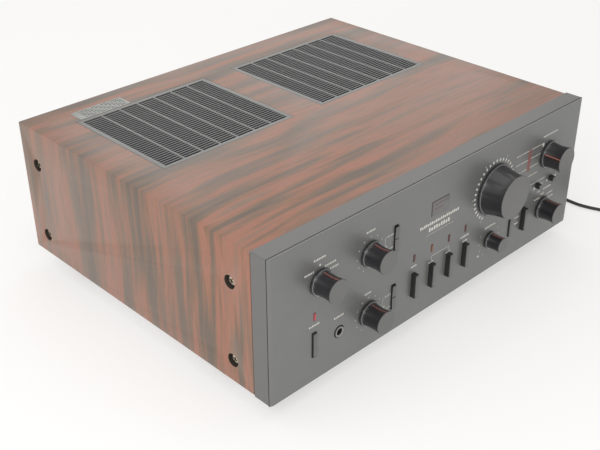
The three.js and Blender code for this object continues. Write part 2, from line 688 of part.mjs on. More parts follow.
function tube(points, radius, steps) {
  const curve = new THREE.CatmullRomCurve3(
    points.map((p) => new THREE.Vector3(...p)),
    false,
    "centripetal",
  );
  const section = new THREE.Shape();
  const sides = 8;
  for (let i = 0; i < sides; i++) {
    const a = (2 * Math.PI * i) / sides;
    const place = [radius * Math.cos(a), radius * Math.sin(a)];
    if (i) section.lineTo(...place);
    else section.moveTo(...place);
  }
  return new THREE.ExtrudeGeometry(section, { steps, extrudePath: curve, bevelEnabled: false });
}

function strainRelief() {
  const { base, tip, length, collar, collarThick } = RELIEF;
  const profile = [
    [0, REAR_PANEL - 8],
    [base, REAR_PANEL - 8],
    [base, REAR_FACE],
    [collar, REAR_FACE],
    [collar, REAR_FACE + collarThick],
    [base * 0.8, REAR_FACE + collarThick],
    [tip, REAR_FACE + length],
    [0, REAR_FACE + length],
  ];
  return turnedY(profile, 16).translate(CORD.exitX, 0, CORD.exitZ);
}

function coilRing() {
  const half = (CORD.turns * CORD.diameter) / 2;
  const height = CORD.layers * CORD.diameter;
  const profile = [
    [CORD.middle - half, 0.6],
    [CORD.middle + half, 0.6],
    [CORD.middle + half, height],
    [CORD.middle - half, height],
    [CORD.middle - half, 0.6],
  ];
  return turnedY(profile, 24).rotateX(Math.PI / 2).translate(COIL.x, COIL.y, 0);
}

// Two-blade plug on its side, drawn along +X from the end of its sleeve, then turned into place.
function mainsPlug() {
  const { nose, noseRadius, body, width, thick, blade, bladeGap } = PLUG;
  const outer = CORD.middle + (CORD.turns * CORD.diameter) / 2;
  const radius = outer - LEAD;
  const start = Math.sqrt((outer + GAP) ** 2 - (radius - noseRadius) ** 2) + GAP;
  const axis = thick / 2;
  const sleevePiece = new THREE.CylinderGeometry(noseRadius + 1.4, noseRadius, nose + 1, 10);
  sleevePiece.rotateZ(-Math.PI / 2).translate(start + (nose + 1) / 2, 0, axis);
  const bodyEnds = [start + nose, start + nose + body];
  const core = box(bodyEnds, [-width / 2, width / 2], [0, thick]);
  const blades = [-1, 1].map((side) =>
    box(
      [bodyEnds[1] - 1, bodyEnds[1] + blade],
      around((side * bladeGap) / 2, 1.5),
      around(axis, 6.3),
    ),
  );
  const heading = TAIL_ANGLE + Math.PI / 2;
  return joined(core, sleevePiece, ...blades)
    .rotateZ(heading)
    .translate(COIL.x + radius * Math.cos(TAIL_ANGLE), COIL.y + radius * Math.sin(TAIL_ANGLE), 0);
}

add("strain_relief", strainRelief(), rubber);
add("mains_lead", tube(ROUTE, LEAD, 76), cordBlack);
add("mains_lead_coil", coilRing(), cordBlack);
add("mains_plug", mainsPlug(), cordBlack);

// ---------------------------------------------------------------- into the part's own frame
const FRONT_REACH = LARGE_KNOB.height;
drawn.position.y = (FRONT_REACH - (CABINET_REAR + TERMINAL_REACH)) / 2;
amplifier.updateMatrixWorld(true);

export default amplifier;
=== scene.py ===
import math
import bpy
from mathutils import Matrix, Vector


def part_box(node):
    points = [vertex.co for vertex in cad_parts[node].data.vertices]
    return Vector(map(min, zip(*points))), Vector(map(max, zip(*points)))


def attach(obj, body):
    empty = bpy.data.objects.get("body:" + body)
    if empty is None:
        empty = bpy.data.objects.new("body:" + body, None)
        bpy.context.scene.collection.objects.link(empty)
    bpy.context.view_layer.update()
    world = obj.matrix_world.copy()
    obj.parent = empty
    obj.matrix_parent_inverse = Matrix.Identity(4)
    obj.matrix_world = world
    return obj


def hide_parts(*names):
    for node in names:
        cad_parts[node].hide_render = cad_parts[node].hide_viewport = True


bl_info = {
    "name": "Integrated Amplifier",
    "version": (1, 0, 0),
    "blender": (4, 5, 0),
    "location": "View3D > Sidebar > Amplifier",
    "description": "Builds a full-width integrated amplifier around its fixed frame",
    "category": "Object",
}

import bmesh
import bpy
from mathutils import Matrix, Vector

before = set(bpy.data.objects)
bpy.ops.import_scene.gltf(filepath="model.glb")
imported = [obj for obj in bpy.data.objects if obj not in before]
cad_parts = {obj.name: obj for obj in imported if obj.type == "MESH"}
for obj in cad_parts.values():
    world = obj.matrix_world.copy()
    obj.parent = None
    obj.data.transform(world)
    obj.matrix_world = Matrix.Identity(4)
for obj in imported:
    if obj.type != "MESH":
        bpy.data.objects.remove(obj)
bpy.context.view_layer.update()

BODY = "amplifier"
Y0 = -0.1714  # the front panel's face in the frame, in metres
# Sizes in millimetres; depths count from the front panel's face, heights from the floor.
HALF_WIDTH = 215  # half of the front panel
PANEL_TOP = 158  # upper edge of the front panel
BOARD = 9  # thickness of the cabinet's board
SHANK = 14.6  # from a cabinet screw's inner end to its head
BORE_RADIUS = 6.8  # counterbores round the cabinet's screws
REAR_SEAT = 344.8  # the plates on the rear panel start here
REAR_FACE = 344.5  # the rear panel's outer face
INK_ROOT = 0.03  # how far printing sinks into its panel


def at(x, y, z):
    """Millimetres from the panel's middle, behind its face and above the floor, as a point in metres."""
    return Vector((x / 1000, y / 1000 + Y0, z / 1000))


# ------------------------------------------------------------------ meshes
def round_edges(bm, edges, offset):
    """Rounds edges and returns the points this leaves."""
    return bmesh.ops.bevel(
        bm, geom=edges, offset=offset, segments=2, profile=0.6, affect="EDGES", clamp_overlap=True
    )["verts"]


class Shape:
    """Collects closed surfaces in millimetres and turns them into one object."""

    def __init__(self, name):
        self.name = name
        self.bm = bmesh.new()
        self.slots = []

    def slot(self, finish):
        if finish not in self.slots:
            self.slots.append(finish)
        return self.slots.index(finish)

    def paint(self, faces, finish):
        index = self.slot(finish)
        for face in faces:
            face.material_index = index
        return faces

    def box(self, xs, ys, zs, finish, bevel=0.0, turn=None):
        made = bmesh.ops.create_cube(self.bm, size=1.0)["verts"]
        size = Vector((xs[1] - xs[0], ys[1] - ys[0], zs[1] - zs[0]))
        middle = Vector((sum(xs) / 2, sum(ys) / 2, sum(zs) / 2))
        for v in made:
            v.co = Vector((v.co.x * size.x, v.co.y * size.y, v.co.z * size.z)) + middle
        faces = {f for v in made for f in v.link_faces}
        self.paint(faces, finish)
        if bevel:
            made = round_edges(self.bm, list({e for v in made for e in v.link_edges}), bevel)
        if turn is not None:
            bmesh.ops.transform(self.bm, matrix=turn, verts=list(made))
        return made

    def lathe(self, profile, place, finishes, sides=48, paint=None):
        """A closed profile of (radius, along) turned about place's own +Z axis."""
        rings = []
        for radius, along in profile:
            if radius < 1e-6:
                rings.append([self.bm.verts.new(place @ Vector((0, 0, along)))])
                continue
            ring = []
            for i in range(sides):
                a = 2 * math.pi * i / sides
                ring.append(
                    self.bm.verts.new(place @ Vector((radius * math.cos(a), radius * math.sin(a), along)))
                )
            rings.append(ring)
        if isinstance(finishes, str):
            finishes = [finishes] * (len(profile) - 1)
        for k in range(len(profile) - 1):
            a, b = rings[k], rings[k + 1]
            for i in range(sides):
                j = (i + 1) % sides
                corners = [a[i % len(a)], a[j % len(a)], b[j % len(b)], b[i % len(b)]]
                corners = [c for n, c in enumerate(corners) if c not in corners[:n]]
                if len(corners) < 3:
                    continue
                face = self.bm.faces.new(corners)
                finish = finishes[k]
                if paint:
                    finish = paint(k, (i + 0.5) * 360 / sides) or finish
                face.material_index = self.slot(finish)
        return rings

    def loft(self, rings, finish):
        """Joins equal rings of points one after the other and closes both ends."""
        rings = [[self.bm.verts.new(p) for p in ring] for ring in rings]
        faces = [self.bm.faces.new(rings[0]), self.bm.faces.new(list(reversed(rings[-1])))]
        for p, q in zip(rings, rings[1:]):
            for i in range(len(p)):
                j = (i + 1) % len(p)
                faces.append(self.bm.faces.new((p[i], p[j], q[j], q[i])))
        self.paint(faces, finish)

    def finish(self, body=BODY, slot=None, replaces=(), sharp=35.0, metres=False):
        if not metres:
            for v in self.bm.verts:
                v.co = at(*v.co)
        bmesh.ops.recalc_face_normals(self.bm, faces=self.bm.faces)
        mesh = bpy.data.meshes.new(self.name)
        self.bm.to_mesh(mesh)
        self.bm.free()
        for finish in self.slots:
            mesh.materials.append(FINISHES[finish]())
        mesh.shade_smooth()
        mesh.set_sharp_from_angle(angle=math.radians(sharp))
        piece = bpy.data.objects.new(self.name, mesh)
        bpy.context.scene.collection.objects.link(piece)
        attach(piece, body)
        if replaces:
            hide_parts(*replaces)
        return piece


def out_of_panel(x, z, turn=0.0):
    """Places a lathe so that its axis points out of the panel towards the user."""
    upright_turn = Matrix.Rotation(math.radians(90), 4, "X") @ Matrix.Rotation(math.radians(turn), 4, "Z")
    return Matrix.Translation((x, 0, z)) @ upright_turn


def along_back(x, z, y):
    """Places a lathe so that its axis points away from the rear panel."""
    return Matrix.Translation((x, y, z)) @ Matrix.Rotation(math.radians(-90), 4, "X")


def along_x(side, x, y, z):
    """Places a lathe so that its axis points to the right (1) or to the left (-1)."""
    return Matrix.Translation((x, y, z)) @ Matrix.Rotation(math.radians(90 * side), 4, "Y")


def upright(x, y):
    return Matrix.Translation((x, y, 0))


def centre(node):
    """Middle of a node's box, in panel millimetres."""
    low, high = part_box(node)
    x, y, z = ((low[k] + high[k]) * 500 for k in range(3))
    return x, y - Y0 * 1000, z


def span(node):
    """Lowest and highest corner of a node's box, in panel millimetres."""
    low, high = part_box(node)
    shift = (0, -Y0 * 1000, 0)
    return tuple([corner[k] * 1000 + shift[k] for k in range(3)] for corner in (low, high))


def softened(node, finish, edge, body=BODY, slot=None, sharp=30.0):
    """A finer copy of a node: flat faces merged and every corner rounded by edge millimetres."""
    shape = Shape(node + "_body")
    shape.bm.from_mesh(bpy.data.objects[node].data)
    bm = shape.bm
    bmesh.ops.remove_doubles(bm, verts=bm.verts, dist=1e-6)
    bmesh.ops.dissolve_limit(bm, angle_limit=math.radians(1), verts=bm.verts, edges=bm.edges)
    corners = [e for e in bm.edges if len(e.link_faces) == 2 and e.calc_face_angle(0) > math.radians(40)]
    round_edges(bm, corners, edge / 1000)
    shape.paint(bm.faces, finish)
    return shape.finish(body=body, slot=slot, replaces=(node,), sharp=sharp, metres=True)


# ------------------------------------------------------------------ finishes
class Recipe:
    """A material under construction."""

    def __init__(self, name):
        self.material = bpy.data.materials.new(name)
        self.material.use_nodes = True
        self.tree = self.material.node_tree
        self.tree.nodes.clear()
        self.shader = self.add("ShaderNodeBsdfPrincipled")
        out = self.add("ShaderNodeOutputMaterial")
        self.join(self.shader.outputs["BSDF"], out.inputs["Surface"])
        self.place = self.add("ShaderNodeTexCoord").outputs["Object"]

    def add(self, kind, **settings):
        node = self.tree.nodes.new(kind)
        for key, value in settings.items():
            if hasattr(node, key):
                setattr(node, key, value)
            else:
                node.inputs[key.replace("_", " ")].default_value = value
        return node

    def join(self, a, b):
        self.tree.links.new(a, b)

    def noise(self, scale, detail=3.0, rough=0.5):
        place = self.add("ShaderNodeMapping", Scale=scale)
        self.join(self.place, place.inputs["Vector"])
        node = self.add("ShaderNodeTexNoise", Scale=1.0, Detail=detail, Roughness=rough)
        self.join(place.outputs["Vector"], node.inputs["Vector"])
        return node.outputs["Fac"]

    def ramp(self, source, stops):
        node = self.add("ShaderNodeValToRGB")
        while len(node.color_ramp.elements) < len(stops):
            node.color_ramp.elements.new(0.5)
        for element, (spot, colour) in zip(node.color_ramp.elements, stops):
            element.position = spot
            element.color = (*colour, 1)
        self.join(source, node.inputs["Fac"])
        return node.outputs["Color"]

    def mix(self, amount, a, b, blend="MIX"):
        node = self.add("ShaderNodeMix", data_type="RGBA", blend_type=blend)
        for socket, value in ((node.inputs[0], amount), (node.inputs[6], a), (node.inputs[7], b)):
            if hasattr(value, "links"):
                self.join(value, socket)
            else:
                socket.default_value = value if isinstance(value, float) else (*value, 1)
        return node.outputs[2]

    def remap(self, source, **ends):
        node = self.add("ShaderNodeMapRange", **ends)
        self.join(source, node.inputs["Value"])
        return node.outputs["Result"]

    def scale(self, source, low, high):
        return self.remap(source, To_Min=low, To_Max=high)

    def spread(self, source, low, high):
        """Stretches the middle of a noise over the whole range."""
        return self.remap(source, From_Min=low, From_Max=high)

    def bump(self, source, depth, strength=1.0):
        node = self.add("ShaderNodeBump", Distance=depth, Strength=strength)
        self.join(source, node.inputs["Height"])
        self.join(node.outputs["Normal"], self.shader.inputs["Normal"])

    def set(self, **values):
        for key, value in values.items():
            socket = self.shader.inputs[key.replace("_", " ")]
            if hasattr(value, "links"):
                self.join(value, socket)
            elif isinstance(value, tuple):
                socket.default_value = (*value, 1)
            else:
                socket.default_value = value


FINISHES = {}
MADE = {}


def finish_named(name):
    """Registers a maker of one finish, made once and shared."""

    def keep(maker):
        def get():
            if name not in MADE:
                recipe = Recipe(name)
                maker(recipe)
                MADE[name] = recipe.material
            return MADE[name]

        FINISHES[name] = get
        return get

    return keep


def plain(name, colour, rough, metal, grain, vary, bump=20, **extra):
    """A finish with fine mottling, uneven gloss and a faint bump."""
    grain = grain if isinstance(grain, tuple) else (grain,) * 3

    @finish_named(name)
    def maker(m):
        broad = m.noise(tuple(g / 30 for g in grain), 4)
        fine = m.noise(grain, 2)
        dark = tuple(c * (1 - vary) for c in colour)
        light = tuple(min(1.0, c * (1 + vary)) for c in colour)
        both = m.mix(0.45, broad, fine)
        m.set(Base_Color=m.ramp(both, [(0.3, dark), (0.7, light)]))
        m.set(Roughness=m.scale(broad, max(0.02, rough * 0.86), min(1.0, rough * 1.14)))
        m.set(Metallic=metal, **extra)
        m.bump(fine, bump / 1e6)


@finish_named("veneer")
def veneer(m):
    # Streaks lie across the cabinet and run down its sides: they change with depth only.
    sway = m.add("ShaderNodeVectorMath", operation="MULTIPLY_ADD")
    wave = m.add("ShaderNodeTexNoise", Scale=5.0, Detail=2.0)
    m.join(m.place, wave.inputs["Vector"])
    m.join(wave.outputs["Color"], sway.inputs[0])
    sway.inputs[1].default_value = (0, 0.020, 0)
    m.join(m.place, sway.inputs[2])
    m.place = sway.outputs[0]
    band = m.spread(m.noise((5, 50, 5), 2), 0.30, 0.70)
    streak = m.spread(m.noise((11, 155, 11), 3), 0.28, 0.72)
    thread = m.noise((18, 480, 18), 2)
    drift = m.spread(m.noise((1.6, 13, 1.6), 1), 0.36, 0.64)
    pore = m.noise((60, 2600, 60), 1)
    ground = m.ramp(
        m.mix(0.20, m.mix(0.38, band, streak), thread),
        [
            (0.18, (0.098, 0.072, 0.053)),
            (0.36, (0.140, 0.095, 0.066)),
            (0.50, (0.232, 0.114, 0.066)),
            (0.62, (0.325, 0.128, 0.078)),
            (0.84, (0.190, 0.130, 0.090)),
        ],
    )
    warmed = m.mix(m.scale(drift, 0.0, 0.32), ground, (0.215, 0.140, 0.108))
    pores = m.ramp(pore, [(0.28, (0.50, 0.45, 0.43)), (0.40, (1, 1, 1))])
    m.set(Base_Color=m.mix(0.5, warmed, pores, "MULTIPLY"), Roughness=m.scale(streak, 0.32, 0.44))
    m.set(Coat_Weight=0.32, Coat_Roughness=0.30)
    m.bump(m.mix(0.5, thread, pore), 0.00005, 0.6)


# name, colour, roughness, metal, grain, mottling, then the bump in micrometres where it differs
PLAIN_FINISHES = (
    ("charcoal", (0.19, 0.191, 0.187), 0.37, 0.32, 1500, 0.05, 8),
    ("charcoal_frame", (0.165, 0.164, 0.16), 0.38, 0.5, 1500, 0.06, 12),
    ("knob_side", (0.019, 0.019, 0.022), 0.3, 0, 700, 0.15, 10),
    ("knob_face", (0.16, 0.16, 0.156), 0.38, 0.45, (260, 260, 2600), 0.05, 8),
    # the next finish is a painted highlight: the lighter ring on the knob flange's rim bevel
    ("bright_ring", (0.48, 0.48, 0.49), 0.25, 1, 400, 0.06),
    ("pointer_line", (0.36, 0.2, 0.17), 0.42, 0, 900, 0.08),
    # the next finish is a painted reddish reflection beside each knob's pointer line
    ("pointer_band", (0.065, 0.01, 0.009), 0.3, 0, 500, 0.15, 10),
    ("bar_side", (0.02, 0.02, 0.021), 0.34, 0, 900, 0.15),
    ("bar_face", (0.16, 0.16, 0.156), 0.38, 0.45, 900, 0.06),
    ("print_white", (0.7, 0.69, 0.63), 0.6, 0, 2500, 0.1),
    ("print_pale", (0.5, 0.49, 0.46), 0.6, 0, 2500, 0.1),
    ("print_red", (0.23, 0.09, 0.08), 0.5, 0, 2500, 0.1),
    ("collar", (0.27, 0.27, 0.265), 0.34, 0.5, 900, 0.06),
    ("badge", (0.185, 0.178, 0.172), 0.33, 0.6, 500, 0.06),
    ("badge_edge", (0.07, 0.055, 0.052), 0.4, 0.3, 500, 0.1),
    ("grille_paint", (0.225, 0.225, 0.22), 0.36, 0.45, 1400, 0.06),
    # the next finish is painted shade on the vent fins' sides, below caps in the fins' own paint
    ("grille_depth", (0.018, 0.018, 0.019), 0.6, 0, 1400, 0.1),
    ("grille_fin", (0.165, 0.165, 0.17), 0.42, 0.35, 1400, 0.1),
    # the next finish is near-black painted shade, for the groove round the front plate and inside the
    # headphone bore
    ("dark_inside", (0.012, 0.012, 0.013), 0.8, 0, 300, 0.2),
    ("bronze", (0.62, 0.55, 0.42), 0.42, 0.45, 900, 0.2),
    # the next finish is a dark cross of painted shade standing for the uncut screw slots
    ("bronze_slot", (0.04, 0.025, 0.015), 0.6, 0.5, 900, 0.2),
    # the next finish is dark painted shade inside the counterbores round the cabinet screws
    ("bore_dark", (0.03, 0.02, 0.014), 0.7, 0, 400, 0.3),
    ("wood_core", (0.085, 0.055, 0.04), 0.8, 0, (200, 900, 200), 0.25, 100),
    ("foot_black", (0.03, 0.03, 0.03), 0.55, 0, 1200, 0.15, 40),
    ("foot_pad", (0.018, 0.018, 0.018), 0.85, 0, 900, 0.2, 60),
    ("zinc", (0.52, 0.53, 0.54), 0.34, 0.9, 60, 0.12, 10),
    ("rear_paint", (0.035, 0.035, 0.037), 0.5, 0, 1800, 0.2, 40),
    ("black_plastic", (0.022, 0.022, 0.023), 0.42, 0, 900, 0.15),
    ("nickel", (0.66, 0.65, 0.62), 0.22, 1, 700, 0.06),
    ("brass", (0.72, 0.55, 0.27), 0.26, 1, 700, 0.08),
    ("red_plastic", (0.42, 0.022, 0.02), 0.35, 0, 900, 0.1),
    ("white_plastic", (0.72, 0.71, 0.68), 0.4, 0, 900, 0.05),
    ("board", (0.21, 0.145, 0.055), 0.5, 0, 90, 0.15),
    ("sleeve_blue", (0.02, 0.045, 0.1), 0.32, 0, 300, 0.12),
    ("anodised", (0.03, 0.03, 0.032), 0.45, 0.6, 900, 0.15),
    ("laminations", (0.085, 0.08, 0.078), 0.45, 0.6, (60, 60, 2600), 0.4, 80),
    ("copper", (0.62, 0.26, 0.11), 0.35, 0.9, (60, 60, 2400), 0.3, 100),
    ("cord_sleeve", (0.022, 0.022, 0.023), 0.5, 0, 900, 0.15, 40),
    ("plug_black", (0.026, 0.026, 0.027), 0.48, 0, 1200, 0.12, 40),
    ("foil_label", (0.36, 0.37, 0.35), 0.34, 0.6, 350, 0.12),
    ("foil_print", (0.12, 0.115, 0.105), 0.5, 0.1, 900, 0.15),
    ("lens_dull", (0.11, 0.042, 0.034), 0.3, 0, 700, 0.12),
    ("lens_red", (0.5, 0.05, 0.075), 0.3, 0, 700, 0.08),
    ("lens_orange", (0.26, 0.085, 0.05), 0.3, 0, 700, 0.08),
)
FINISH_EXTRAS = {
    "knob_side": {"Coat_Weight": 0.35, "Coat_Roughness": 0.12},
    "pointer_band": {"Coat_Weight": 0.3},
    "lens_red": {"Emission_Color": (0.8, 0.06, 0.1), "Emission_Strength": 0.12},
}
for row in PLAIN_FINISHES:
    plain(*row, **FINISH_EXTRAS.get(row[0], {}))


# ------------------------------------------------------------------ mains lead
LEAD_MM = 3.6
EXIT = (178.0, 375.1, 45.0)
COIL_X, COIL_Y, COIL_MIDDLE = 326.9, -33.5, 21.6
COIL_TURNS = 5  # in each of its two layers
COIL_STEPS = 30  # points in a turn
COIL_LIFT = 1.3  # extra height where the lead crosses onto the second layer
TURN_PITCH = 3.47
COIL_OUTER = COIL_MIDDLE + 2 * LEAD_MM
TAIL_ANGLE = math.radians(197.5)
PLUG_AXIS = 7.2  # height of the plug's middle
PLUG_POINTS = 32  # round each cross section of the plug
PLUG_SQUARE = 0.45  # 1 is an ellipse, less is closer to a rectangle
LIE = LEAD_MM / 2 + 0.1  # height of a lead that lies on the floor
ROUTE = [
    (178, 375.1, 45), (178, 385.1, 44.4), (179, 395.1, 40), (181, 403.1, 31), (184, 408.6, 20),
    (188.5, 412.6, 10), (195.5, 415.6, 3.6), (206, 416.6, LIE), (220, 414.1, LIE),
    (234, 407.1, LIE), (246, 395.1, LIE), (256, 378, LIE), (263, 352, LIE), (267, 320, LIE),
    (270, 280, LIE), (273.5, 235, LIE), (277.5, 190, LIE), (280.5, 145, LIE), (281.5, 100, LIE),
    (280, 62, LIE), (278.8, 34, LIE), (278.9, 20, LIE), (281.6, 8, LIE), (286, -4, LIE),
    (290.6, -15.6, LIE), (294.8, -27.6, LIE),
]


def smooth_route(points, per):
    """Centripetal Catmull-Rom points, the curve that the frame's own lead follows."""
    pts = [Vector(p) for p in points]
    pts = [pts[0] * 2 - pts[1]] + pts + [pts[-1] * 2 - pts[-2]]
    out = []
    for i in range(1, len(pts) - 2):
        p = pts[i - 1 : i + 3]
        t = [0.0]
        for a, b in zip(p, p[1:]):
            t.append(t[-1] + max((b - a).length, 1e-6) ** 0.5)
        for k in range(per):
            s = t[1] + (t[2] - t[1]) * k / per

            def lerp(a, b, ta, tb):
                return a * ((tb - s) / (tb - ta)) + b * ((s - ta) / (tb - ta))

            a1, a2, a3 = (lerp(p[n], p[n + 1], t[n], t[n + 1]) for n in range(3))
            b1, b2 = lerp(a1, a2, t[0], t[2]), lerp(a2, a3, t[1], t[3])
            out.append(lerp(b1, b2, t[1], t[2]))
    out.append(pts[-2])
    return [Vector((p.x, p.y, max(p.z, LIE))) for p in out]


def coil_points():
    """A flat spiral inwards, a step up at its eye, and a spiral back out on top of it."""
    inner = COIL_OUTER - (COIL_TURNS - 1) * TURN_PITCH
    out = []
    for turn in range(2 * COIL_TURNS):
        for k in range(COIL_STEPS):
            f = k / COIL_STEPS
            z = LIE if turn < COIL_TURNS else LIE + LEAD_MM
            if turn < COIL_TURNS - 1:
                r = COIL_OUTER - TURN_PITCH * (turn + f)
            elif turn < COIL_TURNS:
                r = inner
                z += LEAD_MM * (1 - (1 - f) ** 2)
            elif turn < 2 * COIL_TURNS - 1:
                r = inner + TURN_PITCH * (turn - COIL_TURNS + f)
            else:
                r = COIL_OUTER
            if turn == COIL_TURNS:
                z += COIL_LIFT * math.sin(math.pi * f)
            a = TAIL_ANGLE + 2 * math.pi * f
            out.append(Vector((COIL_X + r * math.cos(a), COIL_Y + r * math.sin(a), z)))
    return out


def coil_end(z):
    """Where the last turn of the coil ends, at a height."""
    x = COIL_X + COIL_OUTER * math.cos(TAIL_ANGLE)
    return Vector((x, COIL_Y + COIL_OUTER * math.sin(TAIL_ANGLE), z))


def tail_points():
    """From the last turn straight into the plug's sleeve."""
    base = coil_end(LIE + LEAD_MM)
    ahead = Vector((-math.sin(TAIL_ANGLE), math.cos(TAIL_ANGLE), 0))
    return [base + ahead * far + Vector((0, 0, up)) for far, up in ((0, 0), (6, 0.5), (12, 1.3), (18, 1.8))]


class LeadSettings(bpy.types.PropertyGroup):
    diameter: bpy.props.FloatProperty(
        name="Lead diameter", description="Across the mains lead", default=LEAD_MM / 1000, unit="LENGTH"
    )


class AMP_OT_lead(bpy.types.Operator):
    """Lays the mains lead with its coil and plug"""

    bl_idname = "amplifier.lead"
    bl_label = "Mains lead"

    def execute(self, context):
        points = smooth_route(ROUTE, 6) + coil_points() + tail_points()
        curve = bpy.data.curves.new("mains_lead_sleeve", "CURVE")
        curve.dimensions = "3D"
        curve.bevel_depth = context.scene.lead.diameter / 2
        curve.bevel_resolution = 4
        curve.use_fill_caps = True
        spline = curve.splines.new("POLY")
        spline.points.add(len(points) - 1)
        for slot, p in zip(spline.points, points):
            slot.co = (*at(*p), 1)
        curve.materials.append(FINISHES["cord_sleeve"]())
        lead = bpy.data.objects.new("mains_lead_sleeve", curve)
        context.scene.collection.objects.link(lead)
        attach(lead, BODY)
        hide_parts("mains_lead", "mains_lead_coil")
        plug = self.plug()
        relief = self.relief()
        return {"FINISHED"}

    def plug(self):
        turn = Matrix.Translation(coil_end(0)) @ Matrix.Rotation(TAIL_ANGLE + math.pi / 2, 4, "Z")
        low = 12.0
        s = Shape("mains_plug_body")
        ribs = [(0, 0.0), (2.4, 0.0), (2.6, 0.8)]
        for i in range(5):
            x = 1.5 + 3.0 * i
            r = 2.9 + 0.3 * i
            ribs += [(r, x), (r, x + 1.9), (r - 0.6, x + 2.1), (r - 0.6, x + 2.8)]
        ribs += [(5.0, 17.5), (5.2, 20.0), (0, 20.0)]
        along = turn @ Matrix.Translation((low, 0, PLUG_AXIS)) @ Matrix.Rotation(math.pi / 2, 4, "Y")
        s.lathe(ribs, along, "plug_black", 24)
        start, end = low + 18.3, low + 50.0
        sections = ((0, 4.6, 5.0), (3, 7.6, 6.3), (9, 10.2, 7.1), (20, 10.8, 7.2), (29, 10.6, 7.1))
        rings = []
        for x, half, thick in (*sections, (31.7, 10.2, 6.8)):
            ring = []
            for i in range(PLUG_POINTS):
                t = 2 * math.pi * i / PLUG_POINTS
                y, z = (
                    size * math.copysign(abs(v) ** PLUG_SQUARE, v)
                    for size, v in ((half, math.cos(t)), (thick, math.sin(t)))
                )
                ring.append(turn @ Vector((start + x, y, PLUG_AXIS + z)))
            rings.append(ring)
        s.loft(rings, "plug_black")
        for side in (-1, 1):
            ys = (side * 6.35 - 0.75, side * 6.35 + 0.75)
            s.box((end - 1, end + 16.3), ys, (PLUG_AXIS - 3.1, PLUG_AXIS + 3.1), "brass", 0.35, turn)
        return s.finish(slot="plug_black", replaces=("mains_plug",), sharp=40)

    def relief(self):
        low, high = span("strain_relief")
        long = high[1] - low[1]
        s = Shape("strain_relief_body")
        profile = [(0, 0), (6.9, 0), (6.9, long - 30.4), (9.4, long - 30.1)]
        profile += [(9.4, long - 28), (8.8, long - 27.6)]
        for i in range(7):
            y = long - 27.2 + 3.7 * i
            r = 5.6 - 0.42 * i
            profile += [(r, y), (r, y + 2.2), (r - 0.8, y + 2.5), (r - 0.8, y + 3.4)]
        profile += [(2.3, long), (0, long)]
        s.lathe(profile, along_back(EXIT[0], EXIT[2], low[1]), "cord_sleeve", 28)
        return s.finish(slot="cord_black", replaces=("strain_relief",), sharp=40)


# ------------------------------------------------------------------ cabinet
class CabinetSettings(bpy.types.PropertyGroup):
    edge: bpy.props.FloatProperty(
        name="Edge", description="Rounding of the cabinet's corners, in millimetres", default=0.5
    )
    fins: bpy.props.IntProperty(name="Vent fins", description="Fins across each top vent", default=33)


class AMP_OT_cabinet(bpy.types.Operator):
    """Veneered cabinet shell and its screws"""

    bl_idname = "amplifier.cabinet"
    bl_label = "Cabinet"

    def execute(self, context):
        shell = softened("cabinet_shell", "veneer", context.scene.cabinet.edge, slot="wood_veneer")
        for finish in ("wood_core", "bore_dark"):
            shell.data.materials.append(FINISHES[finish]())
        low, high = span("cabinet_shell")
        half, inner, ceiling = high[0], high[0] - BOARD, high[2] - BOARD
        bores = [centre(f"cabinet_screw_left_{i}")[1:] for i in range(1, 5)]
        for face in shell.data.polygons:
            x, y, z = (v * 1000 for v in face.center)
            x, y = abs(x), y - Y0 * 1000
            bored = any(math.hypot(y - v, z - w) < BORE_RADIUS for v, w in bores)
            # counterbore walls get painted shade (index 2); inner faces and front ends the raw board (index
            # 1)
            if bored and inner + 0.1 < x < half - 0.1:
                face.material_index = 2
            elif (x < inner + 0.01 and z < ceiling + 0.01) or y < low[1] + 0.01:
                face.material_index = 1
        for side in ("left", "right"):
            for i in range(1, 5):
                self.screw(f"cabinet_screw_{side}_{i}", -1 if side == "left" else 1)
        return {"FINISHED"}

    def screw(self, node, side):
        low, high = span(node)
        y, z = (low[1] + high[1]) / 2, (low[2] + high[2]) / 2
        base = high[0] if side < 0 else low[0]  # inner end of the shank
        s = Shape(node + "_head")
        profile = [(0, 0), (1.9, 0), (1.9, SHANK), (4.6, SHANK), (4.8, SHANK + 0.4), (4.5, SHANK + 1.3)]
        profile += [(3.6, SHANK + 1.95), (2.0, SHANK + 2.3), (0, SHANK + 2.4)]
        s.lathe(profile, along_x(side, base, y, z), "bronze", 32)
        top = base + side * (SHANK + 2.42)
        for turn in (20, 110):
            place = Matrix.Translation((top, y, z)) @ Matrix.Rotation(math.radians(turn), 4, "X")
            # dark cross on the head: painted shade of the slot, which is not cut
            s.box((-0.25, 0.06), (-2.3, 2.3), (-0.45, 0.45), "bronze_slot", 0, place)
        return s.finish(slot="bronze_screw", replaces=(node,), sharp=40)


VENT_COLUMNS = 7


